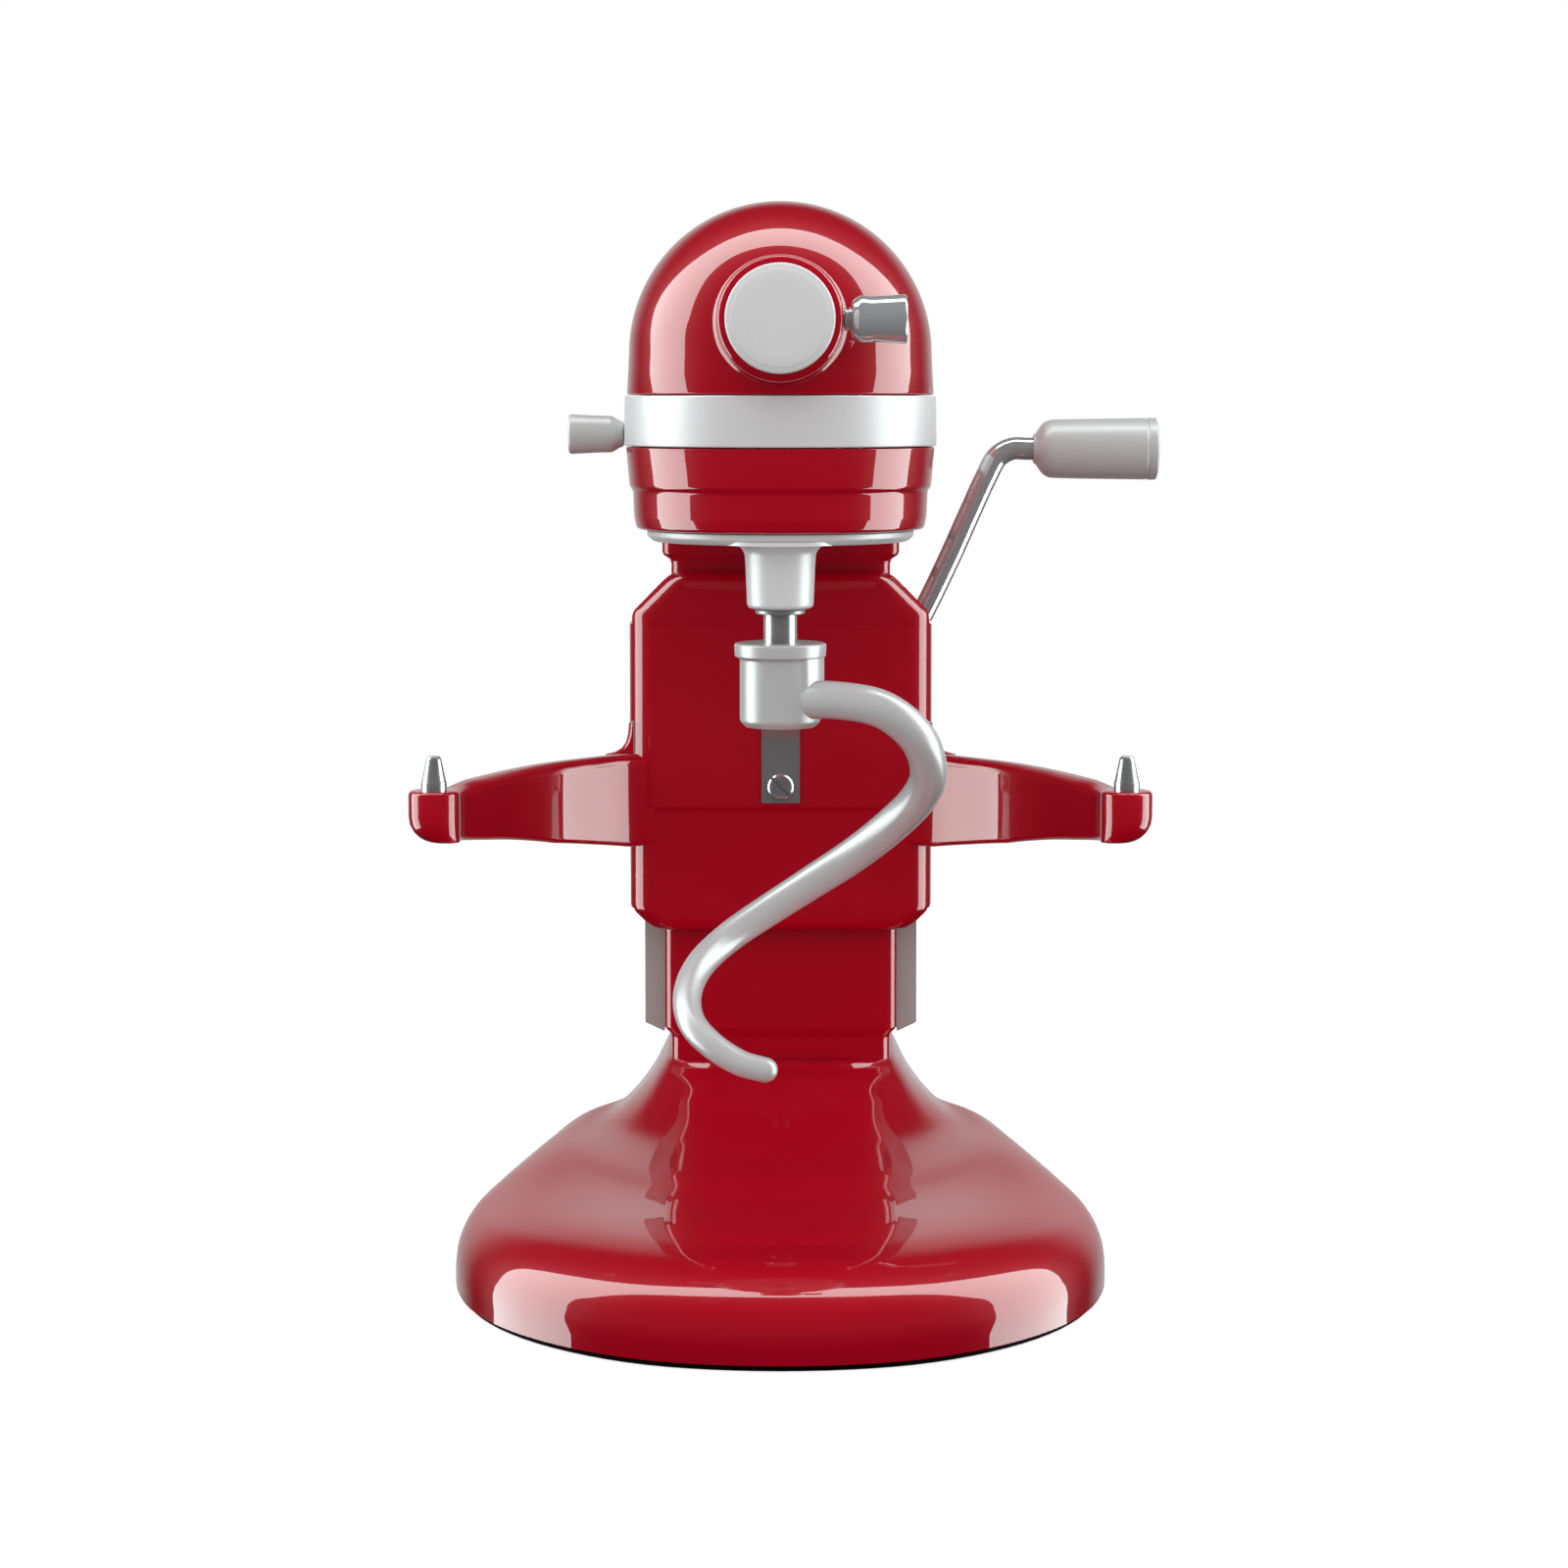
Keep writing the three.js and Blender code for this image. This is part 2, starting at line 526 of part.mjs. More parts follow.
function countershaft() {
  const towardMain = MAIN_TOOTH + Math.PI;
  const toothAt = towardMain + Math.PI / PINION_TEETH;
  const pinion = gear(PINION_TEETH, MAIN_MODULE, toothAt, 9, 0).translate(0, 0, 315.5);
  const shaft = join(rod(5, 60).translate(0, 0, FLOOR_LOW + 3.3), pinion);
  add('pinion_shaft', shaft.translate(COUNTER_X, COUNTER_Y, 0), steel);
  const wheel = gear(WORM_WHEEL_TEETH, (2 * WORM_WHEEL_R) / WORM_WHEEL_TEETH, Math.PI, 8, 5.3);
  add('worm_wheel', wheel.translate(COUNTER_X, COUNTER_Y, MOTOR_Z - 4), bronze);
}

function planetary() {
  const disc = turned([[0, 289.7], [44.6, 289.7], [44.6, 293], [0, 293]], 36);
  const boss = turned([
    [0, 265.5], [11.4, 265.5], [12.3, 266.4], [13.2, 282], [15, 286.5], [20, 290], [0, 290],
  ], 20).translate(0, BEATER_Y, 0);
  const carrier = cut(
    join(
      disc, upright(12, 0, 0, 292, 297), common(boss, upright(44.6, 0, 0, 260, 292, 36)),
    ),
    upright(6.3, 0, 0, 280, 300, 20), upright(6.7, 0, BEATER_Y, 260, 300, 24),
  );
  add('planetary_carrier', carrier, silver);
  const ring = turned([
    [45, 293], [51, 293], [51, 291.8], [50, 290.4], [48, 289.6], [45, 289.4], [45, 293],
  ], 36);
  add('drip_ring', ring, silver);
  const shaft = turned([[0, 290], [6, 290], [6, 336.5], [5, 336.5], [5, 350], [0, 350]], 20);
  add('centre_shaft', shaft, steel);
  const mainGear = gear(MAIN_TEETH, MAIN_MODULE, MAIN_TOOTH, 8, 6.3).translate(0, 0, 316);
  add('main_gear', mainGear, steel);
  const bevelZ = HUB_Z - (HUB_TEETH * BEVEL_MODULE) / 2;
  const bevel = bevelGear(BEVEL_TEETH, -Math.PI / 2, HUB_Z - bevelZ, 5.2, 5.3).translate(0, 0, bevelZ);
  const collar = sleeve(5.3, 10, 8.5).translate(0, 0, bevelZ - 8);
  add('centre_bevel_gear', join(bevel, collar), steel);
}

const CROSS_PIN_Z = 241; // pin on which the attachments hang

function beater() {
  const shaft = turned([[0, 227], [5.6, 227], [6.35, 229], [6.35, 292], [5, 292], [5, 303], [0, 303]], 24);
  const bored = cut(shaft, aim(rod(1.9, 20, 12), [1, 0, 0], [-10, 0, CROSS_PIN_Z]));
  add('beater_shaft', bored.translate(0, BEATER_Y, 0), steel);
  const pinion = gear(PLANET_TEETH, PLANET_MODULE, -Math.PI / 2, 8.5, 5.3).translate(0, BEATER_Y, 294.7);
  add('planet_pinion', pinion, steel);
  add('retaining_ring', sleeve(6.65, 9.5, 1.6).translate(0, BEATER_Y, 263.6), darkSteel);
  add('beater_drive_pin', aim(rod(1.6, 24, 12), [1, 0, 0], [-12, BEATER_Y, CROSS_PIN_Z]), steel);
}

function hubDrive() {
  const apex = (BEVEL_TEETH * BEVEL_MODULE) / 2;
  const hubGap = Math.PI / HUB_TEETH;
  const bevel = bevelGear(HUB_TEETH, hubGap - Math.PI / 2, apex, 4.8, 5);
  const shaft = cut(
    join(rod(11.9, 36).translate(0, 0, -37), rod(8, 42).translate(0, 0, -37.5)),
    box(-4.2, 4.2, -4.2, 4.2, -40, -22),
  );
  add('hub_drive_gear', aim(join(bevel, shaft), [0, 1, 0], [0, -apex, HUB_Z]), steel);
  add('hub_bush', aim(sleeve(12.3, 14.7, 22, 20), [0, -1, 0], [0, -37, HUB_Z]), bronze);
}

// ---------- hub cap and attachment knob ----------
function hubFittings() {
  const rim = new THREE.Shape();
  const flutes = 24;
  for (let i = 0; i < flutes * 2; i += 1) {
    const r = i % 2 ? 19.9 : 19.4;
    const a = (i * Math.PI) / flutes;
    if (i === 0) rim.moveTo(r, 0);
    else rim.lineTo(r * Math.cos(a), r * Math.sin(a));
  }
  const cap = join(
    plate(rim, HUB_FACE + GAP, 84), turned([[0, 83], [18.8, 83], [18, 85.4], [0, 85.4]], 32),
    rod(14.6, 6, 28).translate(0, 0, 73),
  );
  add('hub_cap', aim(cap, [0, -1, 0], [0, 0, HUB_Z]), silver);
  const knob = turned([
    [0, -4], [2.9, -4], [2.9, 2.8], [4, 2.8], [4.3, 3.5], [3.4, 4], [4.3, 4.6], [4, 5.2],
    [7, 5.8], [8.7, 7.8], [8.8, 9.6], [8.3, 11], [9, 24], [8.4, 25.3], [0, 25.5],
  ], 16);
  add('attachment_knob', aim(knob, [1, 0, 0], [20.4, CLAMP_Y, HUB_Z]), chrome);
}

// ---------- dough hook ----------
// The hook's centre line about the planetary axis, from the hub round the right side, across
// behind the beater shaft, round the left side and to the front.
const HOOK_PATH = [
  [5, -34, 231], [20, -42, 232], [38, -47, 228.9], [51, -42, 218], [55.8, -31, 204], [53, -20, 193.5],
  [44, -8, 182], [28, 3, 167.5], [12, 7, 156.4], [-4, 7, 146], [-20, 0, 136], [-31, -14, 127.2],
  [-35.2, -29, 118.6], [-33.2, -41, 110.6], [-25.8, -49, 103.8], [-14.6, -54, 97.7], [-5.6, -56, 95.6],
];
const HOOK_RADII = [7.1, 7.1, 7.1, 7, 6.9, 6.7, 6.3, 5.9, 5.5, 5.2, 4.7];

function doughHook() {
  const hub = turned([
    [0, 220.9], [11.8, 220.9], [14.2, 222.2], [15.2, 225.2], [15.2, 247], [16.8, 247],
    [17.3, 248.1], [17.3, 251.7], [16.7, 252.6], [0, 252.6],
  ], 20).translate(0, BEATER_Y, 0);
  const tip = new THREE.SphereGeometry(4.7, 10, 6).translate(...HOOK_PATH.at(-1));
  const spiral = bar(HOOK_PATH, HOOK_RADII, 8, 38);
  return cut(
    join(hub, spiral, tip),
    upright(6.75, 0, BEATER_Y, 225.6, 254, 24),
    box(-12.6, 12.6, BEATER_Y - 2.1, BEATER_Y + 2.1, CROSS_PIN_Z - 2.5, 254),
  );
}

// ---------- bowl lift ----------
// One arm of the yoke, from the plate's side forward to the bowl pin's boss.
function yokeArm(sign) {
  const plan = new THREE.Shape();
  plan.moveTo(54, 126);
  plan.lineTo(54, 118.4).quadraticCurveTo(65, 117, 78, 101);
  plan.quadraticCurveTo(105, 70, 123.4, 8).lineTo(PIN_X - BOSS_R, -2);
  plan.absarc(PIN_X, 0, BOSS_R, Math.PI * 1.05, 0);
  plan.quadraticCurveTo(126, 55, 100, 88.5).quadraticCurveTo(86, 110, 68, 126);
  const side = new THREE.Shape([
    [130, 155], [112, 155], [12, 173], [-12, 173], [-12, BOSS_TOP], [20, BOSS_TOP], [60, 194.2], [130, 194.2],
  ].map(([y, z]) => new THREE.Vector2(y, z)));
  const slab = plate(side, 40, 150, 1);
  const sideways = new THREE.Matrix4().makeBasis(
    new THREE.Vector3(0, 1, 0), new THREE.Vector3(0, 0, 1), new THREE.Vector3(1, 0, 0),
  );
  const arm = common(plate(plan, 140, 200, 6), slab.applyMatrix4(sideways));
  return sign > 0 ? arm : geometryOf(solid(arm).mirror([1, 0, 0]));
}

function yoke() {
  const { half, low, high, front, plate: thick } = YOKE;
  const face = new THREE.Shape([
    [-47.5, high], [-half, 254], [-half, 128], [-55, low], [55, low], [half, 128], [half, 254], [47.5, high],
  ].map(([x, z]) => new THREE.Vector2(x, z)));
  const slab = plate(face, 0, thick).rotateX(Math.PI / 2).translate(0, front + thick, 0);
  const cheek = RAIL.outer + 0.4;
  const lip = { front: RAIL.rear + 0.6, rear: RAIL.rear + 3.4 };
  const cheeks = [
    box(cheek, half, front + 2, lip.rear - 0.4, 128, 249),
    box(COLUMN.half + 0.6, half, lip.front, lip.rear, 134, 230),
  ].flatMap((right) => [right, geometryOf(solid(right).mirror([1, 0, 0]))]);
  const forkZ = HANDLE.z + CRANK * Math.sin(CRANK_REST);
  const tongue = cut(
    box(-5, 5, front + 4, 196, forkZ - 10.5, forkZ + 10.5),
    box(-6, 6, 176, 200, forkZ - 5, forkZ + 5),
  );
  return join(slab, ...cheeks, yokeArm(1), yokeArm(-1), tongue);
}

const LATCH_Z = 181; // latch spring's screw
const PIN_FOOT = 180.6; // bottom of the bowl pins in their holes

function bowlLift() {
  const holes = [-1, 1].map((sign) => upright(5.3, sign * PIN_X, 0, PIN_FOOT - 0.4, 200, 20));
  add('bowl_bracket', cut(yoke(), ...holes), redEnamel);
  mirrored((side, sign) => {
    const shoulder = BOSS_TOP + 3;
    const pin = turned([
      [0, PIN_FOOT], [4.95, PIN_FOOT], [4.95, shoulder], [2.7, shoulder + 9.4], [1.8, shoulder + 10.4],
      [0, shoulder + 10.4],
    ], 20);
    add(`bowl_pin_${side}`, pin.translate(sign * PIN_X, 0, 0), steel);
  });
  const spring = new THREE.Shape([
    [0, 174], [1.2, 174], [1.2, 202], [4.4, 209], [7, 210.6], [7, 211.8], [3.8, 210.6], [0, 202.4],
  ].map(([y, z]) => new THREE.Vector2(y, z)));
  const strip = plate(spring, -8.1, 8.1, 1).applyMatrix4(new THREE.Matrix4().makeBasis(
    new THREE.Vector3(0, -1, 0), new THREE.Vector3(0, 0, 1), new THREE.Vector3(-1, 0, 0),
  )).translate(0, YOKE.front - GAP, 0);
  const face = YOKE.front - GAP;
  const hole = aim(rod(2.6, 12, 16), [0, -1, 0], [0, face + 2, LATCH_Z]);
  add('latch_spring', cut(strip, hole), darkSteel);
  const screw = turned([[0, 0], [2.3, 0], [2.3, 2], [5.8, 2], [5.4, 3.6], [3.6, 4.4], [0, 4.6]], 20);
  const slotted = cut(screw, box(-7, 7, -0.5, 0.5, 3.4, 6).rotateZ(-Math.PI / 4));
  add('latch_screw', aim(slotted, [0, -1, 0], [0, face + 0.1 - GAP, LATCH_Z]), darkSteel);
}

// ---------- lift handle ----------
function liftHandle() {
  const { y, z, gripZ } = HANDLE;
  const rodPath = [
    [58, y, z], [61, y, z + 7], [66.5, y, z + 18], [74.5, y, z + 35], [82, y, z + 52],
    [90, y, z + 69], [94, y, z + 76.8], [100, y, gripZ], [108, y, gripZ], [111, y, gripZ],
  ];
  const bent = bar(rodPath, [4.9, 4.9], 8, 20);
  const shaft = aim(rod(5, 52, 20), [1, 0, 0], [8, y, z]);
  add('handle_rod', join(bent, shaft, new THREE.SphereGeometry(5, 10, 6).translate(59.5, y, z)), chrome);
  const grip = turned([
    [0, 0], [8.5, 0], [11.4, 1.4], [12.6, 4.5], [13, 10], [13.5, 49], [13.2, 52], [12, 53.7], [0, 53.7],
  ], 20);
  const bored = cut(grip, rod(5.2, 3, 20).translate(0, 0, -1));
  add('handle_grip', aim(bored, [1, 0, 0], [109.6, y, gripZ]), silver);
  const [py, pz] = [y + CRANK * Math.cos(CRANK_REST), z + CRANK * Math.sin(CRANK_REST)];
  const web = box(0, 6, 0, CRANK, -5, 5).rotateX(CRANK_REST).translate(7.6, y, z);
  const crank = join(
    aim(rod(9, 6, 20), [1, 0, 0], [7.6, y, z]), web, aim(rod(6, 6, 20), [1, 0, 0], [7.6, py, pz]),
    aim(rod(3.5, 16, 16), [1, 0, 0], [-6.5, py, pz]),
  );
  add('lift_crank', cut(crank, aim(rod(5.3, 12, 20), [1, 0, 0], [7.9, y, z])), darkSteel);
}

// ---------- speed lever ----------
function speedLever() {
  const { y, z, thick } = LEVER;
  const arm = join(
    box(-SKIRT_R - 4.2, -38, y - 4, y + 4, z - thick / 2, z + thick / 2),
    box(-44, -38, y - 4, 118, z - thick / 2, z + thick / 2),
  );
  add('speed_lever', arm, steel);
  const knob = turned([
    [0, 0], [5.2, 0], [6.6, 1.4], [7.2, 3.6], [7.8, 19], [7.3, 20.8], [6.2, 21.6], [0, 21.8],
  ], 24);
  const bored = cut(knob, box(-1.8, 1.8, -4.3, 4.3, -1, 3));
  add('speed_knob', aim(bored, [-1, 0, 0], [-SKIRT_R - 1.6, y, z]), silver);
}

base();
column();
head();
fixedGearCase();
motor();
armature();
countershaft();
planetary();
beater();
hubDrive();
hubFittings();
add('dough_hook', doughHook(), pearl);
bowlLift();
liftHandle();
speedLever();

// ---------- origin ----------
const whole = new THREE.Box3().setFromObject(mixer);
const centre = whole.getCenter(new THREE.Vector3());
mixer.position.set(-centre.x, -centre.y, -whole.min.z);

const group = new THREE.Group();
group.add(mixer);
group.updateMatrixWorld(true);
export default group;
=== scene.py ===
"""Bowl-lift stand mixer: smooth shells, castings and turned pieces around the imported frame.

Shapes are written in millimetres about the planetary axis (X = 0, Y = 0, front -Y, worktop Z = 0),
which is where the frame's drip ring stands, and every piece is moved there when it is made.
"""
import json
import math

import bmesh
import bpy
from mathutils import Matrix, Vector

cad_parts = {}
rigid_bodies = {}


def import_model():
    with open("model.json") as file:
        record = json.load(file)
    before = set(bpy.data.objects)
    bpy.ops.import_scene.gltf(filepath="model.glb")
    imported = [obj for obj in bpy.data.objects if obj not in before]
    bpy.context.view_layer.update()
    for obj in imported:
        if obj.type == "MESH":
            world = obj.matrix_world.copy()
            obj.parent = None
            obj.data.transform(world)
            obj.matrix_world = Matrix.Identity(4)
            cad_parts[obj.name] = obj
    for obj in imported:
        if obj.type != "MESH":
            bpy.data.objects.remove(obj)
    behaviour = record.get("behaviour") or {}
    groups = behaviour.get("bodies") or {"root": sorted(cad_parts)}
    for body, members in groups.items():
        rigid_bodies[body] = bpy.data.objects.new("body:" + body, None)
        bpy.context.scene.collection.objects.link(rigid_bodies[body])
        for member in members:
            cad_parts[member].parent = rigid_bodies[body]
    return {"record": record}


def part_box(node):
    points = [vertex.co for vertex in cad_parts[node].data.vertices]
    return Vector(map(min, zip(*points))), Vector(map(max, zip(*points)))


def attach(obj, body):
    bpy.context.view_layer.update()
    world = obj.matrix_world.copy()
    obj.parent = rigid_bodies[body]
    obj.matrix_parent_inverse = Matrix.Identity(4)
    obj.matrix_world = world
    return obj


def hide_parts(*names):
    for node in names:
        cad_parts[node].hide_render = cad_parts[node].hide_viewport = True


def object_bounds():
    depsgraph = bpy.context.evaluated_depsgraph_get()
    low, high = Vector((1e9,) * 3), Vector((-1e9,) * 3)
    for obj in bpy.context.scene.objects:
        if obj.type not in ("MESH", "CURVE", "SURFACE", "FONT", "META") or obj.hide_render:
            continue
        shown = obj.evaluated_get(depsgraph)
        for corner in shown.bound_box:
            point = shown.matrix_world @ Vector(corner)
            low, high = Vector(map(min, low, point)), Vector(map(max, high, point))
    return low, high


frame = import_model()
cad_low, cad_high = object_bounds()

MM = 0.001
ring_low, ring_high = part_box("drip_ring")
AXIS = Vector(((ring_low[0] + ring_high[0]) / 2, (ring_low[1] + ring_high[1]) / 2, 0.0))

# Driving sizes, in millimetres
TOP = cad_high[2] / MM
HEAD_R, HEAD_INNER_R, SKIRT_R = 57.8, 55.0, 59.0
DOME_Z = TOP - HEAD_R
HEAD_LOW = 294.0
BAND_LOW, BAND_HIGH = 326.0, 345.1
SHOULDER = (58.15, 354.0)  # [radius, height] where the head's upright wall ends
cover_low, cover_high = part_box("rear_cover")
SPLIT_Y = cover_low[1] / MM - AXIS.y / MM
REAR_Y = cover_high[1] / MM - AXIS.y / MM
REAR_DOME = 40.0
GLAND_Z, COVER_SCREW_Z = 325.0, 362.0
BARREL_R, FLARE_R, BARREL_BORE, BARREL_FACE_Y = 22.85, 26.6, 14.9, -78.0
HUB_Z = 372.5
RIM_R, DISC_R, DISC_LOW, DISC_HIGH = 51.1, 45.0, 289.5, 293.0
BEATER_Y = -30.0
PIN_X = 133.6
BOSS_R, BOSS_TOP = 9.9, 193.2
PLATE_HALF, PLATE_LOW, PLATE_HIGH, PLATE_Y = 64.1, 119.0, 271.0, 118.0
CHEEK_LOW, CHEEK_HIGH, CHEEK_INNER, CHEEK_REAR = 128.0, 249.0, 58.9, 162.9
CREASE_Z = 169.9
ARM_THICK, ARM_TOP, FORK_HALF = 9.5, 194.3, 4.8
LATCH_Y, LATCH_Z = PLATE_Y - 1.5, 181.0
COLUMN_FRONT, COLUMN_REAR = 131.0, 225.0
HANDLE_Y, HANDLE_Z, GRIP_Z = 170.0, 242.0, 322.4
ROD_R, GRIP_X = 4.9, 109.6


# ---------- building blocks ----------
def clean_mesh(name, verts, faces):
    """A mesh in metres from millimetres, without doubled points and with its faces turned outward."""
    mesh = bpy.data.meshes.new(name)
    mesh.from_pydata([Vector(v) * MM + AXIS for v in verts], [], faces)
    bm = bmesh.new()
    bm.from_mesh(mesh)
    bmesh.ops.remove_doubles(bm, verts=bm.verts, dist=2e-6)
    bmesh.ops.dissolve_degenerate(bm, edges=bm.edges, dist=1e-7)
    bmesh.ops.recalc_face_normals(bm, faces=bm.faces)
    bm.to_mesh(mesh)
    bm.free()
    return mesh


def carve(obj, shape):
    """Takes a closed shape (verts, faces) out of a piece."""
    tool = bpy.data.objects.new("tool", clean_mesh("tool", *shape))
    bpy.context.scene.collection.objects.link(tool)
    cut = obj.modifiers.new("cut", "BOOLEAN")
    cut.operation, cut.solver, cut.object = "DIFFERENCE", "EXACT", tool
    bpy.context.view_layer.update()
    result = obj.evaluated_get(bpy.context.evaluated_depsgraph_get())
    mesh = bpy.data.meshes.new_from_object(result)
    obj.modifiers.remove(cut)
    obj.data = mesh
    bpy.data.objects.remove(tool)


def even_shading(obj):
    """Lets broad faces set the shading beside their rounded edges."""
    obj.modifiers.new("even_shading", "WEIGHTED_NORMAL").keep_sharp = True


def rounded(points, closed=False, steps=5):
    """A profile whose corners [x, y, radius] are turned into arcs."""
    out = []
    count = len(points)
    for i, corner in enumerate(points):
        p = Vector(corner[:2])
        radius = corner[2] if len(corner) > 2 else 0.0
        ends = (i == 0 or i == count - 1) and not closed
        if ends or radius <= 0:
            out.append(tuple(p))
            continue
        before = Vector(points[i - 1][:2]) - p
        after = Vector(points[(i + 1) % count][:2]) - p
        half = before.angle(after) / 2
        reach = min(radius / math.tan(half), before.length * 0.49, after.length * 0.49)
        r = reach * math.tan(half)
        centre = p + (before.normalized() + after.normalized()).normalized() * (r / math.sin(half))
        start = p + before.normalized() * reach - centre
        turn = math.pi - 2 * half
        sense = 1 if before.x * after.y - before.y * after.x < 0 else -1
        for n in range(steps + 1):
            a = sense * turn * n / steps
            out.append((centre.x + start.x * math.cos(a) - start.y * math.sin(a),
                        centre.y + start.x * math.sin(a) + start.y * math.cos(a)))
    return out


def grid_faces(rows, cols, wrap_rows=False, wrap_cols=False):
    """The four-sided faces between rows of points, each row with as many."""
    faces = []
    for i in range(rows if wrap_rows else rows - 1):
        for j in range(cols if wrap_cols else cols - 1):
            a, b = i * cols + j, i * cols + (j + 1) % cols
            c, d = ((i + 1) % rows) * cols + (j + 1) % cols, ((i + 1) % rows) * cols + j
            faces.append((a, b, c, d))
    return faces


def turned(profile, sides=96, closed=False):
    """Verts and faces of a profile [radius, height] turned about Z."""
    verts = [(r * math.cos(a), r * math.sin(a), z)
             for a in (2 * math.pi * i / sides for i in range(sides)) for r, z in profile]
    return verts, grid_faces(sides, len(profile), wrap_rows=True, wrap_cols=closed)


def aimed(verts, direction, place):
    """Turns verts that stand on Z along a direction and moves their foot to a place."""
    turn = Vector((0, 0, 1)).rotation_difference(Vector(direction))
    return [tuple(turn @ Vector(v) + Vector(place)) for v in verts]


def together(*shapes):
    """Several (verts, faces) as one."""
    verts, faces = [], []
    for v, f in shapes:
        base = len(verts)
        verts.extend(v)
        faces.extend(tuple(i + base for i in face) for face in f)
    return verts, faces


def lofted(rings, cap=True):
    """Joins rings of points, each with as many points, and closes both ends."""
    n = len(rings[0])
    verts = [p for ring in rings for p in ring]
    faces = grid_faces(len(rings), n, wrap_cols=True)
    if cap:
        faces.append(tuple(range(n - 1, -1, -1)))
        faces.append(tuple(range((len(rings) - 1) * n, len(rings) * n)))
    return verts, faces


def curve_points(points, count, closed=False):
    """Evenly spread points on a smooth centripetal curve through the given ones."""
    pts = [Vector(p) for p in points]
    if closed:
        pts = [pts[-1]] + pts + [pts[0], pts[1]]
    else:
        pts = [pts[0] * 2 - pts[1]] + pts + [pts[-1] * 2 - pts[-2]]
    fine = []
    for i in range(1, len(pts) - 2):
        p0, p1, p2, p3 = pts[i - 1:i + 3]
        t0 = 0.0
        t1 = t0 + max((p1 - p0).length, 1e-6) ** 0.5
        t2 = t1 + max((p2 - p1).length, 1e-6) ** 0.5
        t3 = t2 + max((p3 - p2).length, 1e-6) ** 0.5
        for n in range(24):
            t = t1 + (t2 - t1) * n / 24
            a1 = p0.lerp(p1, (t - t0) / (t1 - t0))
            a2 = p1.lerp(p2, (t - t1) / (t2 - t1))
            a3 = p2.lerp(p3, (t - t2) / (t3 - t2))
            b1 = a1.lerp(a2, (t - t0) / (t2 - t0))
            b2 = a2.lerp(a3, (t - t1) / (t3 - t1))
            fine.append(b1.lerp(b2, (t - t1) / (t2 - t1)))
    fine.append(pts[-2])
    lengths = [0.0]
    for a, b in zip(fine, fine[1:]):
        lengths.append(lengths[-1] + (b - a).length)
    total, out, k = lengths[-1], [], 0
    spans = count if closed else count - 1
    for i in range(count):
        want = total * i / spans
        while k < len(lengths) - 2 and lengths[k + 1] < want:
            k += 1
        share = (want - lengths[k]) / max(lengths[k + 1] - lengths[k], 1e-9)
        out.append(fine[k].lerp(fine[k + 1], min(share, 1.0)))
    return out


def swept(path, radius_at, sides=32, round_ends=(True, True)):
    """A round bar along points; radius_at takes 0 to 1, and an end can be a half ball."""
    n = len(path)
    tangents = [(path[min(i + 1, n - 1)] - path[max(i - 1, 0)]).normalized() for i in range(n)]
    normal = tangents[0].orthogonal().normalized()
    stations = []
    for i, (p, t) in enumerate(zip(path, tangents)):
        if i:
            normal = tangents[i - 1].rotation_difference(t) @ normal
        stations.append((p, t, normal.copy(), radius_at(i / (n - 1))))
    rings = []

    def ring(p, t, side, r):
        other = t.cross(side)
        return [tuple(p + (side * math.cos(a) + other * math.sin(a)) * r)
                for a in (2 * math.pi * k / sides for k in range(sides))]

    if round_ends[0]:
        p, t, side, r = stations[0]
        rings += [ring(p - t * r * math.cos(a), t, side, r * math.sin(a))
                  for a in (math.pi / 2 * k / 8 for k in range(1, 8))]
    rings += [ring(*s) for s in stations]
    if round_ends[1]:
        p, t, side, r = stations[-1]
        rings += [ring(p + t * r * math.sin(a), t, side, r * math.cos(a))
                  for a in (math.pi / 2 * k / 8 for k in range(1, 8))]
    return lofted(rings)


def moved(shape, x, y):
    """A (verts, faces) shape, shifted level."""
    verts, faces = shape
    return [(vx + x, vy + y, z) for vx, vy, z in verts], faces


def ring_points(count):
    """Cosine and sine of evenly spread angles once round."""
    return [(math.cos(a), math.sin(a)) for a in (2 * math.pi * i / count for i in range(count))]


def block(x0, x1, y0, y1, z0, z1):
    return lofted([[(x0, y0, z), (x1, y0, z), (x1, y1, z), (x0, y1, z)] for z in (z0, z1)])


def smooth_step(t):
    t = max(0.0, min(1.0, t))
    return t * t * (3 - 2 * t)


# ---------- materials ----------
def shader(name, base, roughness, metallic=0.0, **sockets):
    """A principled material; further sockets are given by name, with _ for each space."""
    material = bpy.data.materials.new(name)
    material.use_nodes = True
    bsdf = material.node_tree.nodes["Principled BSDF"]
    bsdf.inputs["Base Color"].default_value = (*base, 1)
    bsdf.inputs["Roughness"].default_value = roughness
    bsdf.inputs["Metallic"].default_value = metallic
    for key, value in sockets.items():
        bsdf.inputs[key.replace("_", " ")].default_value = value
    return material, material.node_tree, bsdf


def noise(tree, scale, detail=3.0, stretch=(1, 1, 1)):
    """Noise in the object's own metres, drawn out along an axis where stretch is small."""
    place = tree.nodes.new("ShaderNodeTexCoord")
    mapping = tree.nodes.new("ShaderNodeMapping")
    mapping.inputs["Scale"].default_value = stretch
    texture = tree.nodes.new("ShaderNodeTexNoise")
    texture.inputs["Scale"].default_value = scale
    texture.inputs["Detail"].default_value = detail
    tree.links.new(place.outputs["Object"], mapping.inputs["Vector"])
    tree.links.new(mapping.outputs["Vector"], texture.inputs["Vector"])
    return texture.outputs["Fac"]


def add_bump(tree, bsdf, height, strength, distance):
    bump = tree.nodes.new("ShaderNodeBump")
    bump.inputs["Strength"].default_value = strength
    bump.inputs["Distance"].default_value = distance
    tree.links.new(height, bump.inputs["Height"])
    tree.links.new(bump.outputs["Normal"], bsdf.inputs["Normal"])


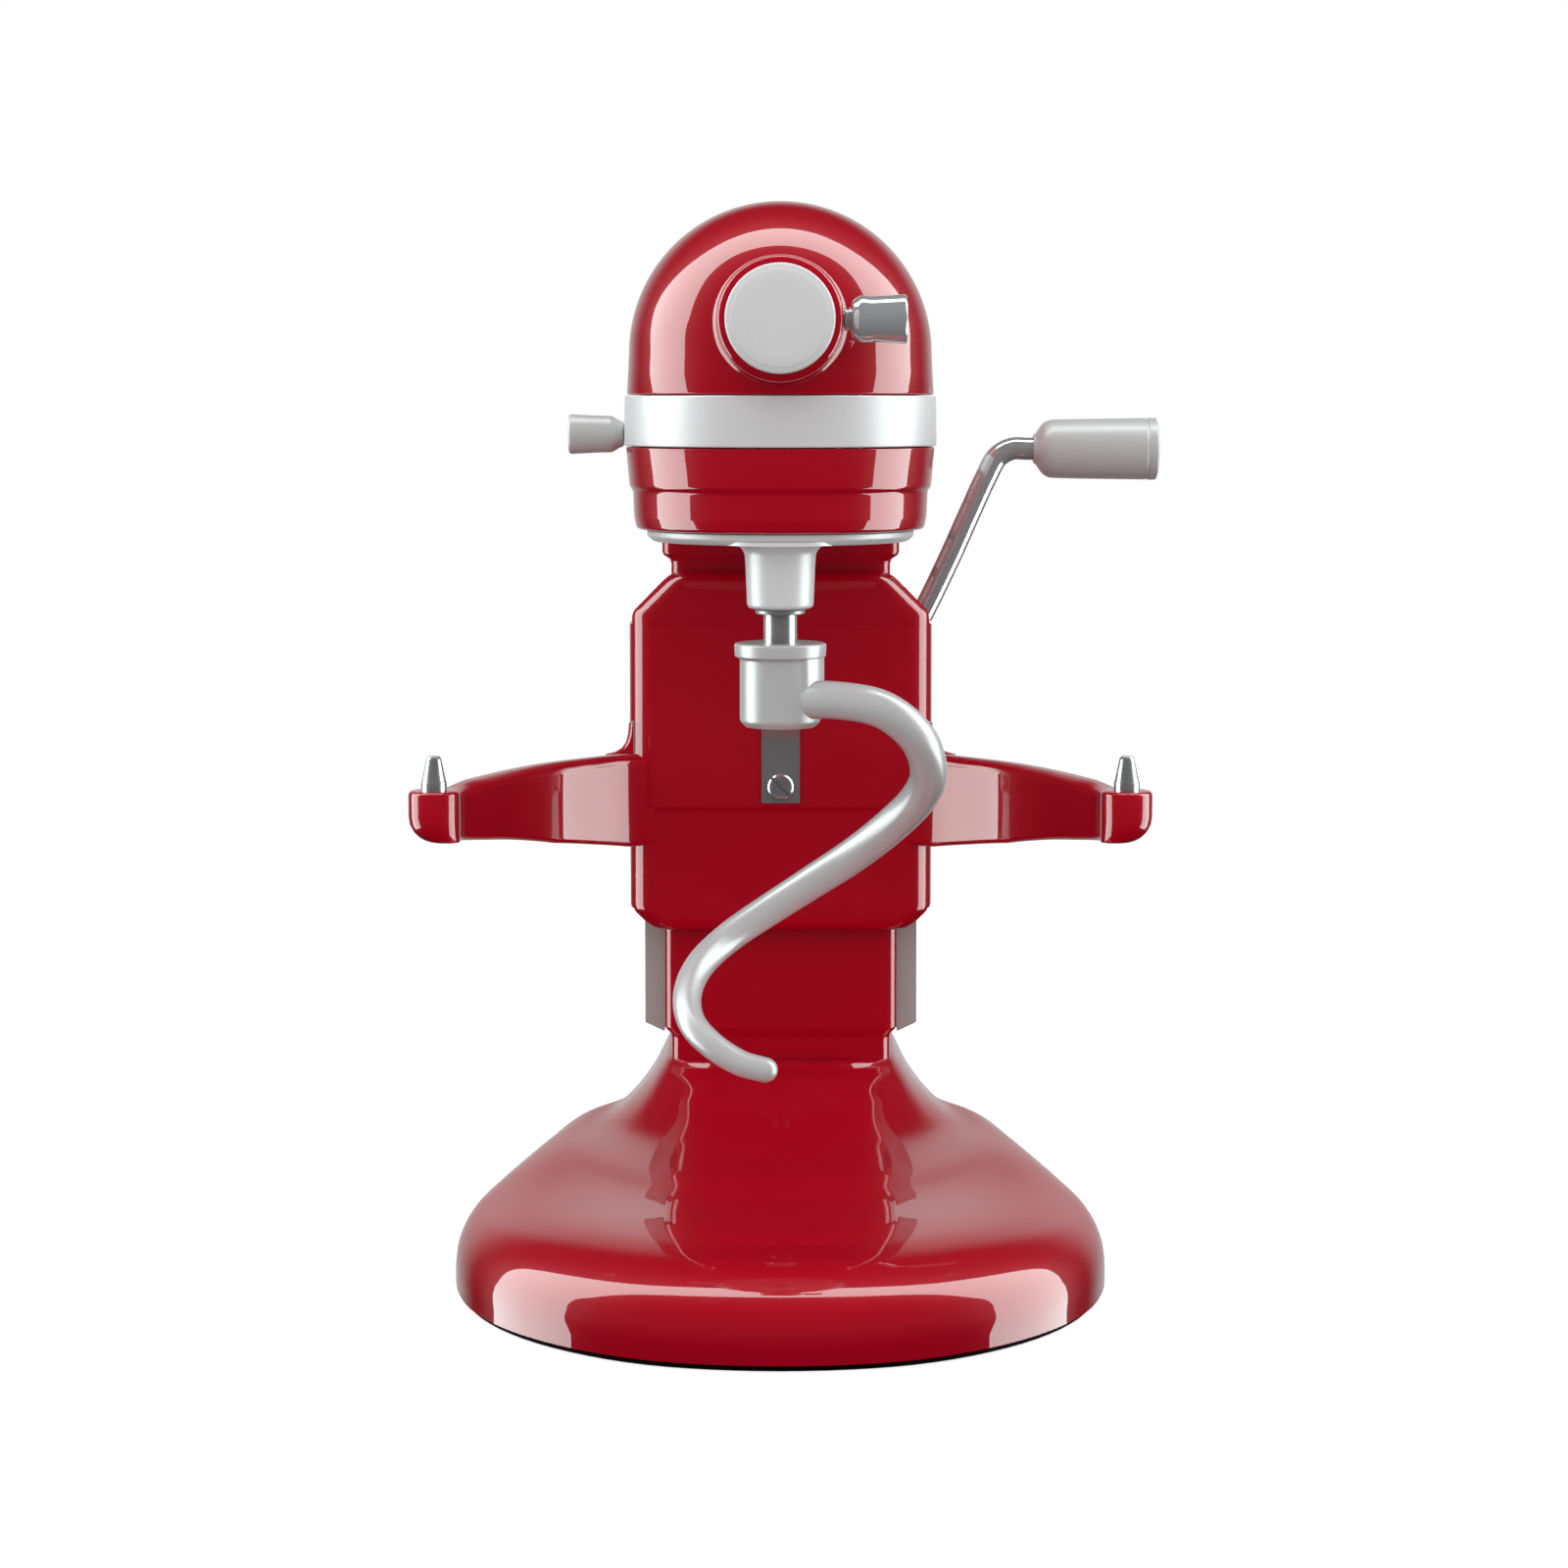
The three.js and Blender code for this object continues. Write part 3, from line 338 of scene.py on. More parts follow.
def ramp(tree, value, target, source=(0.0, 1.0), smooth=False):
    """Carries a value from one range over to another."""
    node = tree.nodes.new("ShaderNodeMapRange")
    if smooth:
        node.interpolation_type = "SMOOTHSTEP"
    for prefix, (low, high) in (("From", source), ("To", target)):
        node.inputs[f"{prefix} Min"].default_value = low
        node.inputs[f"{prefix} Max"].default_value = high
    tree.links.new(value, node.inputs["Value"])
    return node.outputs["Result"]


def vary_roughness(tree, bsdf, fac, low, high):
    tree.links.new(ramp(tree, fac, (low, high)), bsdf.inputs["Roughness"])


def tinted(colour, share):
    return tuple(min(c * share, 1.0) for c in colour)


def vary_colour(tree, bsdf, fac, dark, light):
    mix = tree.nodes.new("ShaderNodeMix")
    mix.data_type = "RGBA"
    mix.inputs["A"].default_value = (*dark, 1)
    mix.inputs["B"].default_value = (*light, 1)
    tree.links.new(fac, mix.inputs["Factor"])
    tree.links.new(mix.outputs["Result"], bsdf.inputs["Base Color"])


def red_enamel():
    material, tree, bsdf = shader("red_enamel", (0.5, 0.0, 0.014), 0.32, Coat_Weight=1.0,
                                  Coat_Roughness=0.015, Coat_IOR=1.55, IOR=1.45)
    bsdf.inputs["Specular IOR Level"].default_value = 0.1
    vary_colour(tree, bsdf, noise(tree, 18.0), (0.485, 0.0, 0.0125), (0.515, 0.0005, 0.0155))
    add_bump(tree, bsdf, noise(tree, 160.0, 1.0), 0.03, 0.0002)
    return material


def silver_paint(name="silver_paint", base=(0.86, 0.86, 0.867)):
    material, tree, bsdf = shader(name, base, 0.38, 0.06, Coat_Weight=0.15, Coat_Roughness=0.2)
    flakes = noise(tree, 2600.0, 2.0)
    vary_colour(tree, bsdf, flakes, tinted(base, 0.93), tinted(base, 1.07))
    vary_roughness(tree, bsdf, noise(tree, 60.0), 0.34, 0.44)
    add_bump(tree, bsdf, flakes, 0.06, 0.0001)
    return material


def chrome():
    material, tree, bsdf = shader("chrome", (0.64, 0.66, 0.67), 0.07, 0.5)
    vary_roughness(tree, bsdf, noise(tree, 90.0), 0.04, 0.09)
    add_bump(tree, bsdf, noise(tree, 500.0), 0.02, 0.0001)
    return material


def steel(name="steel", base=(0.55, 0.55, 0.56), roughness=(0.2, 0.34), stretch=(1, 1, 12), metallic=0.7):
    """Drawn or ground metal, with fine lines across the axis where stretch is large."""
    material, tree, bsdf = shader(name, base, roughness[0], metallic)
    lines = noise(tree, 900.0, 4.0, stretch)
    vary_roughness(tree, bsdf, lines, *roughness)
    vary_colour(tree, bsdf, lines, tinted(base, 0.88), tinted(base, 1.08))
    add_bump(tree, bsdf, lines, 0.08, 0.0001)
    return material


def hook_coating():
    material, tree, bsdf = shader("hook_coating", (0.645, 0.635, 0.638), 0.34, 0.1, Coat_Weight=0.5,
                                  Coat_Roughness=0.22)
    vary_colour(tree, bsdf, noise(tree, 40.0), (0.622, 0.615, 0.618), (0.672, 0.665, 0.668))
    vary_roughness(tree, bsdf, noise(tree, 220.0), 0.3, 0.4)
    add_bump(tree, bsdf, noise(tree, 380.0, 4.0), 0.1, 0.0003)
    return material


def cast_metal(name, base, metallic=1.0, roughness=(0.45, 0.65)):
    material, tree, bsdf = shader(name, base, roughness[0], metallic)
    grain = noise(tree, 700.0, 5.0)
    vary_roughness(tree, bsdf, grain, *roughness)
    vary_colour(tree, bsdf, noise(tree, 50.0), tinted(base, 0.9), tinted(base, 1.1))
    add_bump(tree, bsdf, grain, 0.2, 0.0003)
    return material


def plastic(name, base, roughness):
    material, tree, bsdf = shader(name, base, roughness)
    grain = noise(tree, 1200.0, 3.0)
    vary_roughness(tree, bsdf, grain, roughness * 0.85, min(roughness * 1.15, 1))
    vary_colour(tree, bsdf, noise(tree, 30.0), tinted(base, 0.85), tinted(base, 1.15))
    add_bump(tree, bsdf, grain, 0.15, 0.0002)
    return material


MATERIALS = {
    "red_enamel": red_enamel(),
    "silver_paint": silver_paint(),
    "handle_silver": silver_paint("handle_silver", (0.63, 0.65, 0.645)),
    "chrome": chrome(),
    "steel": steel(),
    "dark_steel": steel("dark_steel", (0.36, 0.36, 0.37), (0.28, 0.42), (1, 1, 10), 0.5),
    "rail_steel": steel("rail_steel", (0.56, 0.6, 0.595), (0.4, 0.55), (10, 10, 1), 0.15),
    "cast_alloy": cast_metal("cast_alloy", (0.5, 0.5, 0.51)),
    "bronze": cast_metal("bronze", (0.5, 0.33, 0.14), 1.0, (0.3, 0.45)),
    "hook_coating": hook_coating(),
    "rubber": plastic("rubber", (0.025, 0.025, 0.027), 0.85),
    "black_plastic": plastic("black_plastic", (0.018, 0.018, 0.02), 0.45),
    "laminated_iron": steel("laminated_iron", (0.16, 0.16, 0.17), (0.4, 0.6), (1, 12, 1)),
    "copper": cast_metal("copper", (0.55, 0.25, 0.12), 1.0, (0.3, 0.45)),
    "circuit_board": plastic("circuit_board", (0.03, 0.12, 0.05), 0.6),
}


def make(name, shape, body, slot, nodes, sharp=38.0, place=None, direction=(0, 0, 1), cutters=(),
         material=None):
    """A smooth piece in machine millimetres, riding on a body in place of CAD nodes."""
    verts, faces = shape
    if place is not None:
        verts = aimed(verts, direction, place)
    obj = bpy.data.objects.new(name, clean_mesh(name, verts, faces))
    bpy.context.scene.collection.objects.link(obj)
    for cutter in cutters:
        carve(obj, cutter)
    obj.data.shade_smooth()
    obj.data.set_sharp_from_angle(angle=math.radians(sharp))
    obj.data.materials.clear()
    obj.data.materials.append(MATERIALS[material or slot])
    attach(obj, body)
    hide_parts(*nodes)
    return obj


def dress_frame():
    """Gives every CAD node the material of its slot."""
    for entry in frame["record"]["subparts"]:
        obj = bpy.data.objects[entry["node"]]
        for slot in obj.material_slots:
            slot.material = MATERIALS[entry["material_slot"]]
        if not obj.material_slots:
            obj.data.materials.append(MATERIALS[entry["material_slot"]])


# ---------- head ----------
FRONT_STEPS = 72


def head_plan(y_end, rear=False):
    """Stations round the head's end: (direction x, direction y, centre y, y scale)."""
    stations = []
    for i in range(FRONT_STEPS + 1):
        a = math.pi * i / FRONT_STEPS
        stations.append((-math.cos(a), -math.sin(a), 0.0))
    if rear:
        centre = REAR_Y - REAR_DOME
        scale = REAR_DOME / SKIRT_R
        stations = [(x, -y * scale, centre) for x, y, _ in stations]
    first, last = stations[0], stations[-1]
    straight = [first[2] + (y_end - first[2]) * n / 6 for n in range(6, 0, -1)]
    return ([(first[0], 0.0, y) for y in straight] + stations
            + [(last[0], 0.0, y) for y in reversed(straight)])


def head_shell(profile, y_end, rear=False, closed=True):
    """Carries a profile [radius, height] round the head's end and back along both sides."""
    stations = head_plan(y_end, rear)
    verts = [(dx * r, dy * r + y, z) for dx, dy, y in stations for r, z in profile]
    n = len(profile)
    faces = grid_faces(len(stations), n, wrap_cols=closed)
    faces.append(tuple(range(n - 1, -1, -1)))
    faces.append(tuple(range((len(stations) - 1) * n, len(stations) * n)))
    return verts, faces


def dome(radius, steps=40):
    """From the dome's foot to its top, a quarter circle about the dome's centre."""
    return [(radius * math.cos(a), DOME_Z + radius * math.sin(a))
            for a in (math.pi / 2 * i / steps for i in range(steps + 1))]


def upper_casing():
    low, edge = BAND_HIGH + 0.3, SKIRT_R - 0.4
    foot = [(HEAD_INNER_R, low), (edge - 0.8, low), (edge - 0.25, low + 0.25), (edge, low + 0.8), SHOULDER]
    outer = foot + dome(HEAD_R)
    outer[-1] = (0.0, TOP)
    inner = list(reversed(dome(HEAD_INNER_R, steps=16)))
    inner[0] = (0.0, inner[0][1])
    return head_shell(outer + inner, SPLIT_Y - 0.2)


def dome_y(x, z):
    """Where the head's front surface stands at a place across and up."""
    return -math.sqrt(max(HEAD_R ** 2 - x * x - max(z - DOME_Z, 0.0) ** 2, 0.0))


def hub_barrel():
    """The attachment hub's barrel, flowing into the dome all round."""
    sides, flare, barrel, face_y = 120, FLARE_R, BARREL_R, BARREL_FACE_Y
    rings = []
    for ux, uz in ring_points(sides):
        def surface(r):
            return dome_y(r * ux, HUB_Z + r * uz)

        edge = surface(flare) + 0.25
        slope = (surface(flare - 1.0) - surface(flare)) / -1.0
        foot = surface(barrel) - 4.2
        ring = [(BARREL_BORE, -52.0), (BARREL_BORE, face_y + 0.6), (BARREL_BORE + 0.6, face_y)]
        ring += rounded([(BARREL_BORE + 0.6, face_y), (barrel, face_y, 2.3), (barrel, foot)], steps=8)[1:]
        p0, p3 = Vector((barrel, foot)), Vector((flare, edge))
        p1 = Vector((barrel, foot + (edge - foot) * 0.6))
        p2 = Vector((flare - 2.4, edge - 2.4 * slope))
        for n in range(1, 17):
            t = n / 16
            p = (p0 * (1 - t) ** 3 + p1 * 3 * t * (1 - t) ** 2 + p2 * 3 * t * t * (1 - t) + p3 * t ** 3)
            ring.append((p.x, p.y))
        ring.append((flare - 1.5, edge + 2.5))
        rings.append([(r * ux, y, HUB_Z + r * uz) for r, y in ring])
    n = len(rings[0])
    return [p for ring in rings for p in ring], grid_faces(sides, n, wrap_rows=True, wrap_cols=True)


def lower_profile():
    """From the casing's foot over the step that runs round it to its upper edge."""
    return rounded([(51.5, HEAD_LOW), (55.1, HEAD_LOW + 0.5, 1.8), (56.0, 299.0, 4.0), (56.4, 308.9, 3.0),
                    (57.7, 310.7, 3.0), (SKIRT_R, BAND_LOW - 0.4, 0.5), (56.6, BAND_LOW - 0.4)])


def lower_casing():
    inside = [(56.4, 321.0), (53.6, 318.0), (51.5, 302.0)]
    walls = head_shell(lower_profile() + inside, SPLIT_Y - 0.2)
    edge = [(-53.4, 0.0)]
    edge += [(51.5 * math.cos(a), 51.5 * math.sin(a))
             for a in (math.pi - math.pi * i / 48 for i in range(49))]
    edge += [(53.4, 0.0), (53.4, SPLIT_Y - 0.2), (-53.4, SPLIT_Y - 0.2)]
    plate = lofted([[(x, y, z) for x, y in edge] for z in (HEAD_LOW, 301.0)])
    return together(walls, plate)


def trim_band():
    inner, outer = SKIRT_R - 2.1, SKIRT_R + 0.7
    profile = rounded([
        (inner, BAND_LOW), (outer, BAND_LOW, 0.7), (outer - 0.2, BAND_HIGH, 0.7), (inner, BAND_HIGH),
    ], closed=True, steps=4)
    return head_shell(profile, SPLIT_Y - 0.2)


def rear_cover():
    outer = [(0.0, HEAD_LOW)] + lower_profile()[1:-1] + [(SKIRT_R, BAND_HIGH), SHOULDER] + dome(HEAD_R)
    outer[-1] = (0.0, TOP)
    inner = list(reversed(dome(HEAD_INNER_R, steps=16)))
    inner[0] = (0.0, inner[0][1])
    inner += [(54.0, 324.0), (52.5, 300.0), (50.0, 296.0), (0.0, 296.0)]
    return head_shell(outer + inner, SPLIT_Y, rear=True)


def head():
    make("upper_shell", together(upper_casing(), hub_barrel()), "stand", "red_enamel",
         ["head_upper_casing"], sharp=50)
    make("lower_shell", lower_casing(), "stand", "red_enamel", ["head_lower_casing"], sharp=40)
    make("head_band", trim_band(), "stand", "silver_paint", ["trim_band"], sharp=60,
         cutters=[block(-64, -50, 15, 75, 327.2, 333.2)])
    vents = []
    for x in (-30, -18, -6, 6, 18, 30):
        vents.append(lofted([rect_ring(2.5, 208, 225, 2.4, z, steps=5, x=x) for z in (288.0, 299.0)]))
    make("motor_end_cover", rear_cover(), "stand", "red_enamel", ["rear_cover"], sharp=50, cutters=vents)
    gland = rounded([(3.6, 0), (10.5, 0, 0.6), (10.5, 3, 0.8), (8.2, 3.2, 0.8), (7.8, 12, 1.5),
                     (6.6, 17, 0.9), (3.6, 17, 0.5)], closed=True)
    make("gland", turned(gland, 64, closed=True), "stand", "black_plastic", ["cord_gland"],
         place=(0, REAR_Y - 12, GLAND_Z), direction=(0, 1, 0))
    screw = rounded([(0, 8), (3, 8), (3, 13.5, 0.4), (6, 13.6, 0.5), (5.9, 14.9, 1.2), (3.4, 16.4, 1.5),
                     (0, 16.5)])
    make("cover_screw", turned(screw, 48), "stand", "steel", ["rear_cover_screw"],
         place=(0, REAR_Y - 13, COVER_SCREW_Z), direction=(0, 1, 0),
         cutters=[block(-6, 6, REAR_Y + 2.2, REAR_Y + 8, COVER_SCREW_Z - 0.6, COVER_SCREW_Z + 0.6)])


# ---------- base and column ----------
BASE_PLAN = [
    (0, -121), (22, -119.5), (43, -115), (60, -108), (78, -96.5), (95, -81), (109, -62), (119, -40),
    (126, -3), (122, 28), (114, 62), (103, 118), (88, 168), (78, 200), (62, 224), (36, 234.6), (0, 234.6),
]
# [share of the way from the rim to the column's foot, height]
BASE_LEVELS = [
    (0.0, 3.0), (0.0, 9.0), (0.004, 12.0), (0.015, 15.4), (0.04, 19.2), (0.085, 22.8), (0.15, 25.3),
    (0.3, 29.8), (0.5, 35.0), (0.68, 38.2), (0.8, 42.3), (0.9, 49.5), (0.965, 56.5), (1.0, 59.8),
]
BASE_Y, COLUMN_Y = 60.0, (COLUMN_FRONT + COLUMN_REAR) / 2
FEET = [(-98, -40), (98, -40), (0, -92), (-60, 196), (60, 196)]


def neck_point(angle, share, inset):
    """The top of the base: an oval low on the ramp that squares up towards the column."""
    squared = smooth_step((share - 0.68) / 0.32)
    power = 2.0 + 4.5 * squared
    x, y = math.cos(angle), math.sin(angle)
    half_x = 53.0 - 3.0 * squared - inset
    half_y = (50.0 + 3.5 * squared if y < 0 else 48.5) - inset
    reach = (abs(x / half_x) ** power + abs(y / half_y) ** power) ** (-1 / power)
    return Vector((x * reach, COLUMN_Y + y * reach, 0))


def base_rings(inset, sides, rows):
    """Level rings up the base's skin, or up a skin set inside it, from rim to column."""
    half = [Vector((x, y, 0)) for x, y in BASE_PLAN]
    plan = curve_points(half + [Vector((-p.x, p.y, 0)) for p in reversed(half[1:-1])], sides, closed=True)
    levels = [(max(p.x / 100, 0.0), p.y, 0.0)
              for p in curve_points([Vector((s * 100, z, 0)) for s, z in BASE_LEVELS], rows)]
    if not inset:
        levels += [(1.0, 60.9, 0.7), (1.0, 61.6, 1.8), (1.0, 61.9, 3.2), (1.0, 61.9, 6.0)]
    rings = []
    for share, z, tuck in levels:
        ring = []
        for i, p in enumerate(plan):
            outer = p - (p - Vector((0, BASE_Y, 0))).normalized() * inset
            front = smooth_step((-10 - p.y) / 95)
            side = smooth_step((140 - p.y) / 60) * (1 - front)
            lift = 1 + smooth_step(z / 16) * (0.4 * front * (1 - smooth_step((share - 0.06) / 0.44))
                                              + 0.2 * side * (1 - smooth_step((share - 0.3) / 0.45)))
            q = outer.lerp(neck_point(2 * math.pi * i / sides - math.pi / 2, share, inset + tuck), share)
            ring.append((q.x, q.y, max(z * lift - inset, 3.0)))
        rings.append(ring)
    return rings


def base():
    rings = base_rings(0.0, 160, 64) + list(reversed(base_rings(4.0, 160, 40)))
    verts, faces = lofted(rings + rings[:1], cap=False)
    post = turned([(0, 3), (10.5, 3), (10.5, 21), (0, 21)], 32)
    posts = [moved(post, x, y) for x, y in FEET]
    make("base_shell", together((verts, faces), *posts), "stand", "red_enamel", ["base_casting"], sharp=50)
    foot = rounded([(0, 0), (6.6, 0, 0.8), (8, 2.2, 0.8), (8, 6.7), (0, 6.7)])
    for n, (x, y) in enumerate(FEET, 1):
        make(f"foot_{n}", turned(foot, 48), "stand", "rubber", [f"rubber_foot_{n}"], place=(x, y, 0))


def rect_ring(half_x, y0, y1, radius, z, steps=8, x=0.0):
    """A level rectangle with rounded corners."""
    left, right = x - half_x, x + half_x
    corners = [(left, y0, radius), (right, y0, radius), (right, y1, radius), (left, y1, radius)]
    return [(u, v, z) for u, v in rounded(corners, closed=True, steps=steps)]


def column():
    front, rear = COLUMN_FRONT, COLUMN_REAR
    # [height, half width, set back at front and rear]
    levels = [
        (61.5, 46.8, 1.0), (70.5, 46.8, 1.0), (72.3, 47.3, 0.8), (74.2, 49.2, 0.1), (75.8, 49.8, 0.0),
        (160.0, 49.8, 0.0), (247.0, 49.8, 0.0), (249.0, 49.3, 0.1), (251.5, 47.2, 0.8), (253.5, 46.6, 1.0),
        (274.2, 46.6, 1.0), (276.0, 47.2, 0.9), (277.8, 49.8, 0.2), (279.2, 50.4, 0.0), (293.3, 50.4, 0.0),
    ]
    rings = [rect_ring(half, front + inset, rear - inset, 5.5, z) for z, half, inset in levels]
    hollow = lofted([rect_ring(43.0, front + 5, rear - 5, 6.0, z) for z in (55.0, 300.0)])
    slot = block(-9, 9, front - 5, front + 10, 205, 274)
    bore = turned([(0, 0), (7.2, 0), (7.2, 30), (0, 30)], 48)
    bore = (aimed(bore[0], (1, 0, 0), (35, HANDLE_Y, HANDLE_Z)), bore[1])
    body = make("column_shell", lofted(rings), "stand", "red_enamel", ["column_casting"], sharp=40,
                cutters=[hollow, slot, bore])
    even_shading(body)
    for side, sign in (("left", -1), ("right", 1)):
        outline = rounded([(50.1, 71.2, 0.3), (58.6, 75.2, 0.8), (58.6, 251.8, 0.8), (50.1, 251.8, 0.3)],
                          closed=True)
        rings = [[(sign * x, y, z) for x, z in outline] for y in (145.2, 159.8)]
        make(f"rail_{side}", lofted(rings), "stand", "silver_paint", [f"guide_rail_{side}"],
             material="rail_steel")


# ---------- planetary and beater shaft ----------
def planetary():
    ring = rounded([(DISC_R + 0.2, 293.8), (RIM_R, 293.8, 0.3), (RIM_R, 291.7, 1.8),
                    (48.6, DISC_LOW + 0.1, 3.0), (DISC_R + 0.2, DISC_LOW)])
    make("planetary_rim", turned(ring, 128, closed=True), "planetary", "silver_paint", ["drip_ring"])
    disc = [(0, DISC_HIGH), (DISC_R, DISC_HIGH), (DISC_R, DISC_LOW), (0, DISC_LOW)]
    boss = rounded([(0, 265.5), (12.4, 265.5, 1.9), (13.0, 280.0, 6.0), (13.5, 289.4, 8.0), (24.0, 289.6),
                    (24.0, 291.0), (0, 291.0)], steps=8)
    make("planetary_body", together(turned(disc, 128), moved(turned(boss, 96), 0, BEATER_Y)), "planetary",
         "silver_paint", ["planetary_carrier"])
    shaft = rounded([(0, 227), (5.5, 227, 0.4), (6.25, 229, 0.4), (6.25, 292.0), (0, 292.0)])
    make("drive_shaft", turned(shaft, 64), "beater", "steel", ["beater_shaft"], place=(0, BEATER_Y, 0))
    clip = rounded([(6.4, 263.4, 0.3), (9.3, 263.4, 0.5), (9.3, 265.2, 0.5), (6.4, 265.2, 0.3)], closed=True)
    make("shaft_clip", turned(clip, 64, closed=True), "beater", "dark_steel", ["retaining_ring"],
         place=(0, BEATER_Y, 0))


# ---------- dough hook ----------
HOOK_PATH = [
    (5, -34, 231), (20, -42, 232), (38, -47, 228.9), (51, -42, 218), (55.8, -31, 204), (53, -20, 193.5),
    (44, -8, 182), (28, 3, 167.5), (12, 7, 156.4), (-4, 7, 146), (-20, 0, 136), (-31, -14, 127.2),
    (-35.2, -29, 118.6), (-33.2, -41, 110.6), (-25.8, -49, 103.8), (-14.6, -54, 97.7), (-5.6, -56, 95.6),
]
HOOK_RADII = [7.1, 7.1, 7.1, 7.0, 6.9, 6.7, 6.3, 5.9, 5.5, 5.2, 4.7]


def hook_radius(t):
    """The bar's radius at a share of its length."""
    place = t * (len(HOOK_RADII) - 1)
    n = min(int(place), len(HOOK_RADII) - 2)
    return HOOK_RADII[n] + (HOOK_RADII[n + 1] - HOOK_RADII[n]) * (place - n)


def dough_hook():
    hub = rounded([
        (6.8, 221.0), (13.0, 221.0, 0.5), (15.2, 223.2, 2.5), (15.2, 246.7, 1.2), (17.1, 247.5, 0.8),
        (17.3, 252.0, 0.8), (16.5, 252.6, 0.5), (7.4, 252.6, 0.5), (6.8, 251.8),
    ])
    lug = []
    for z, less in ((228.0, 0.0), (247.0, 0.0), (248.4, 0.3), (249.0, 1.2)):
        swell = [(math.radians(a), 14.6 + (1.9 - less) * smooth_step((62 - abs(a)) / 9))
                 for a in range(-62, 63, 2)]
        lug.append([(r * math.cos(a), r * math.sin(a), z) for a, r in swell]
                   + [(12.0 * math.cos(a), 12.0 * math.sin(a), z) for a, _ in reversed(swell)])
    hub = moved(together(turned(hub, 96, closed=True), lofted(lug)), 0, BEATER_Y)
    bar = swept(curve_points(HOOK_PATH, 150), hook_radius, 32)
    hook = make("spiral_hook", together(hub, bar), "dough_hook", "hook_coating", ["dough_hook"], sharp=60)
    hook.visible_glossy = False


# ---------- bowl lift yoke ----------
def along(points, z):
    """Reads a value off a line of (value, height) points."""
    for (v0, z0), (v1, z1) in zip(points, points[1:]):
        if z <= z1:
            return v0 + (v1 - v0) * (z - z0) / max(z1 - z0, 1e-6)
    return points[-1][0]


def yoke_body():
    """Plate and side cheeks in one: rounded towards the sides, with a soft band across the front."""
    side = rounded([(50.0, PLATE_LOW), (55.5, PLATE_LOW, 4.0), (PLATE_HALF, 127.5, 6.0),
                    (PLATE_HALF, 254.0, 6.0), (47.5, PLATE_HIGH, 5.0), (40.0, PLATE_HIGH)], steps=7)[1:-1]
    edges = (0.3, 1.0, 2.2, 4.0)
    heights = sorted({round(z, 2) for _, z in side}
                     | {PLATE_LOW + d for d in edges} | {PLATE_HIGH - d for d in edges}
                     | {CHEEK_LOW + d for d in (0, 0.02, 1, 2)}
                     | {CHEEK_HIGH + d for d in (-2, -0.5, 0, 0.02)}
                     | {169.8 + 0.35 * n for n in range(9)} | {191.0 + 3.0 * n for n in range(11)})
    big = 12.0
    rings = []
    for z in heights:
        half, roll = along(side, z), max(0.0, 4.0 - min(z - PLATE_LOW, PLATE_HIGH - z))
        raised = smooth_step((z - CREASE_Z) / 2.4) * (1 - smooth_step((z - 192.0) / 28.0))
        front = PLATE_Y + 1.3 * (1 - raised) + 4.0 - math.sqrt(max(16.0 - roll * roll, 0.0))
        cheek = CHEEK_LOW + 0.01 <= z <= CHEEK_HIGH + 0.01
        end = max(0.0, 1.5 - min(z - CHEEK_LOW, CHEEK_HIGH - z))
        rear = CHEEK_REAR - end if cheek else 126.0
        reach = math.pi / 2 if front + big <= rear else math.acos((front + big - rear) / big)
        line = [(half - big + big * math.sin(reach * n / 10), front + big - big * math.cos(reach * n / 10))
                for n in range(11)]
        if cheek:
            line += [(line[-1][0], rear - 1.0), (line[-1][0] - 0.8, rear), (CHEEK_INNER, rear),
                     (CHEEK_INNER, 128.0), (CHEEK_INNER - 2.0, 126.0)]
        else:
            last = line[-1]
            line += [last, last, last, (last[0], 126.0), (last[0] - 2.0, 126.0)]
        rings.append([(x, y, z) for x, y in line + [(-x, y) for x, y in reversed(line)]])
    return lofted(rings)


# Inner face of the right arm in plan, with the angle to which its normal is turned there.
ARM_FACE = [
    (50.0, 119.6, 4), (58.0, 118.4, 15), (64.5, 115.0, 36), (78.0, 101.0, 48), (91.9, 83.5, 58),
    (105.0, 58.0, 66), (115.0, 32.0, 71), (122.6, 10.0, 76), (124.3, 1.0, 84),
]


def yoke_arm(sign):
    """One arm, level on top and rising below towards the boss."""
    steps = 72
    inner = curve_points([(x, y, 0) for x, y, _ in ARM_FACE], steps)
    turned_face = [(x, y, math.radians(a)) for x, y, a in ARM_FACE]
    outer = curve_points([(x + ARM_THICK * math.sin(a), y + ARM_THICK * math.cos(a), 0)
                          for x, y, a in turned_face], steps)
    rings = []
    for i, (p, q) in enumerate(zip(inner, outer)):
        t = i / (steps - 1)
        thick, across = (q - p).length, (q - p).normalized()
        top = ARM_TOP - 1.2 * smooth_step((t - 0.8) / 0.15)
        low = along([(155.0, 0.0), (155.3, 64.0), (161.2, 92.0), (166.7, 107.0), (172.9, 124.5)], p.x)
        inner_top = 6.0 - 3.5 * smooth_step((t - 0.8) / 0.2)
        section = rounded([(0, low, 2.6), (thick, low, 2.6), (thick, top, 2.6), (0, top, inner_top)],
                          closed=True, steps=6)
        rings.append([(sign * (p.x + across.x * u), p.y + across.y * u, z) for u, z in section])
    return lofted(rings)


def arm_fillet(sign):
    """Fills the corner between the plate's side and the arm's top."""
    outline = [(62.0, 193.0), (62.0, 208.0), (64.1, 207.5), (64.6, 202.5), (65.6, 199.0), (67.3, 196.6),
               (70.0, 195.0), (74.0, 194.0), (74.0, 193.0)]
    rings = []
    for y, less in ((120.5, 1.6), (121.5, 0.6), (123.0, 0.0), (126.0, 0.0), (127.5, 0.6)):
        rings.append([(sign * (x - (less if x > 64 else 0.0)), y, z) for x, z in outline])
    return lofted(rings)


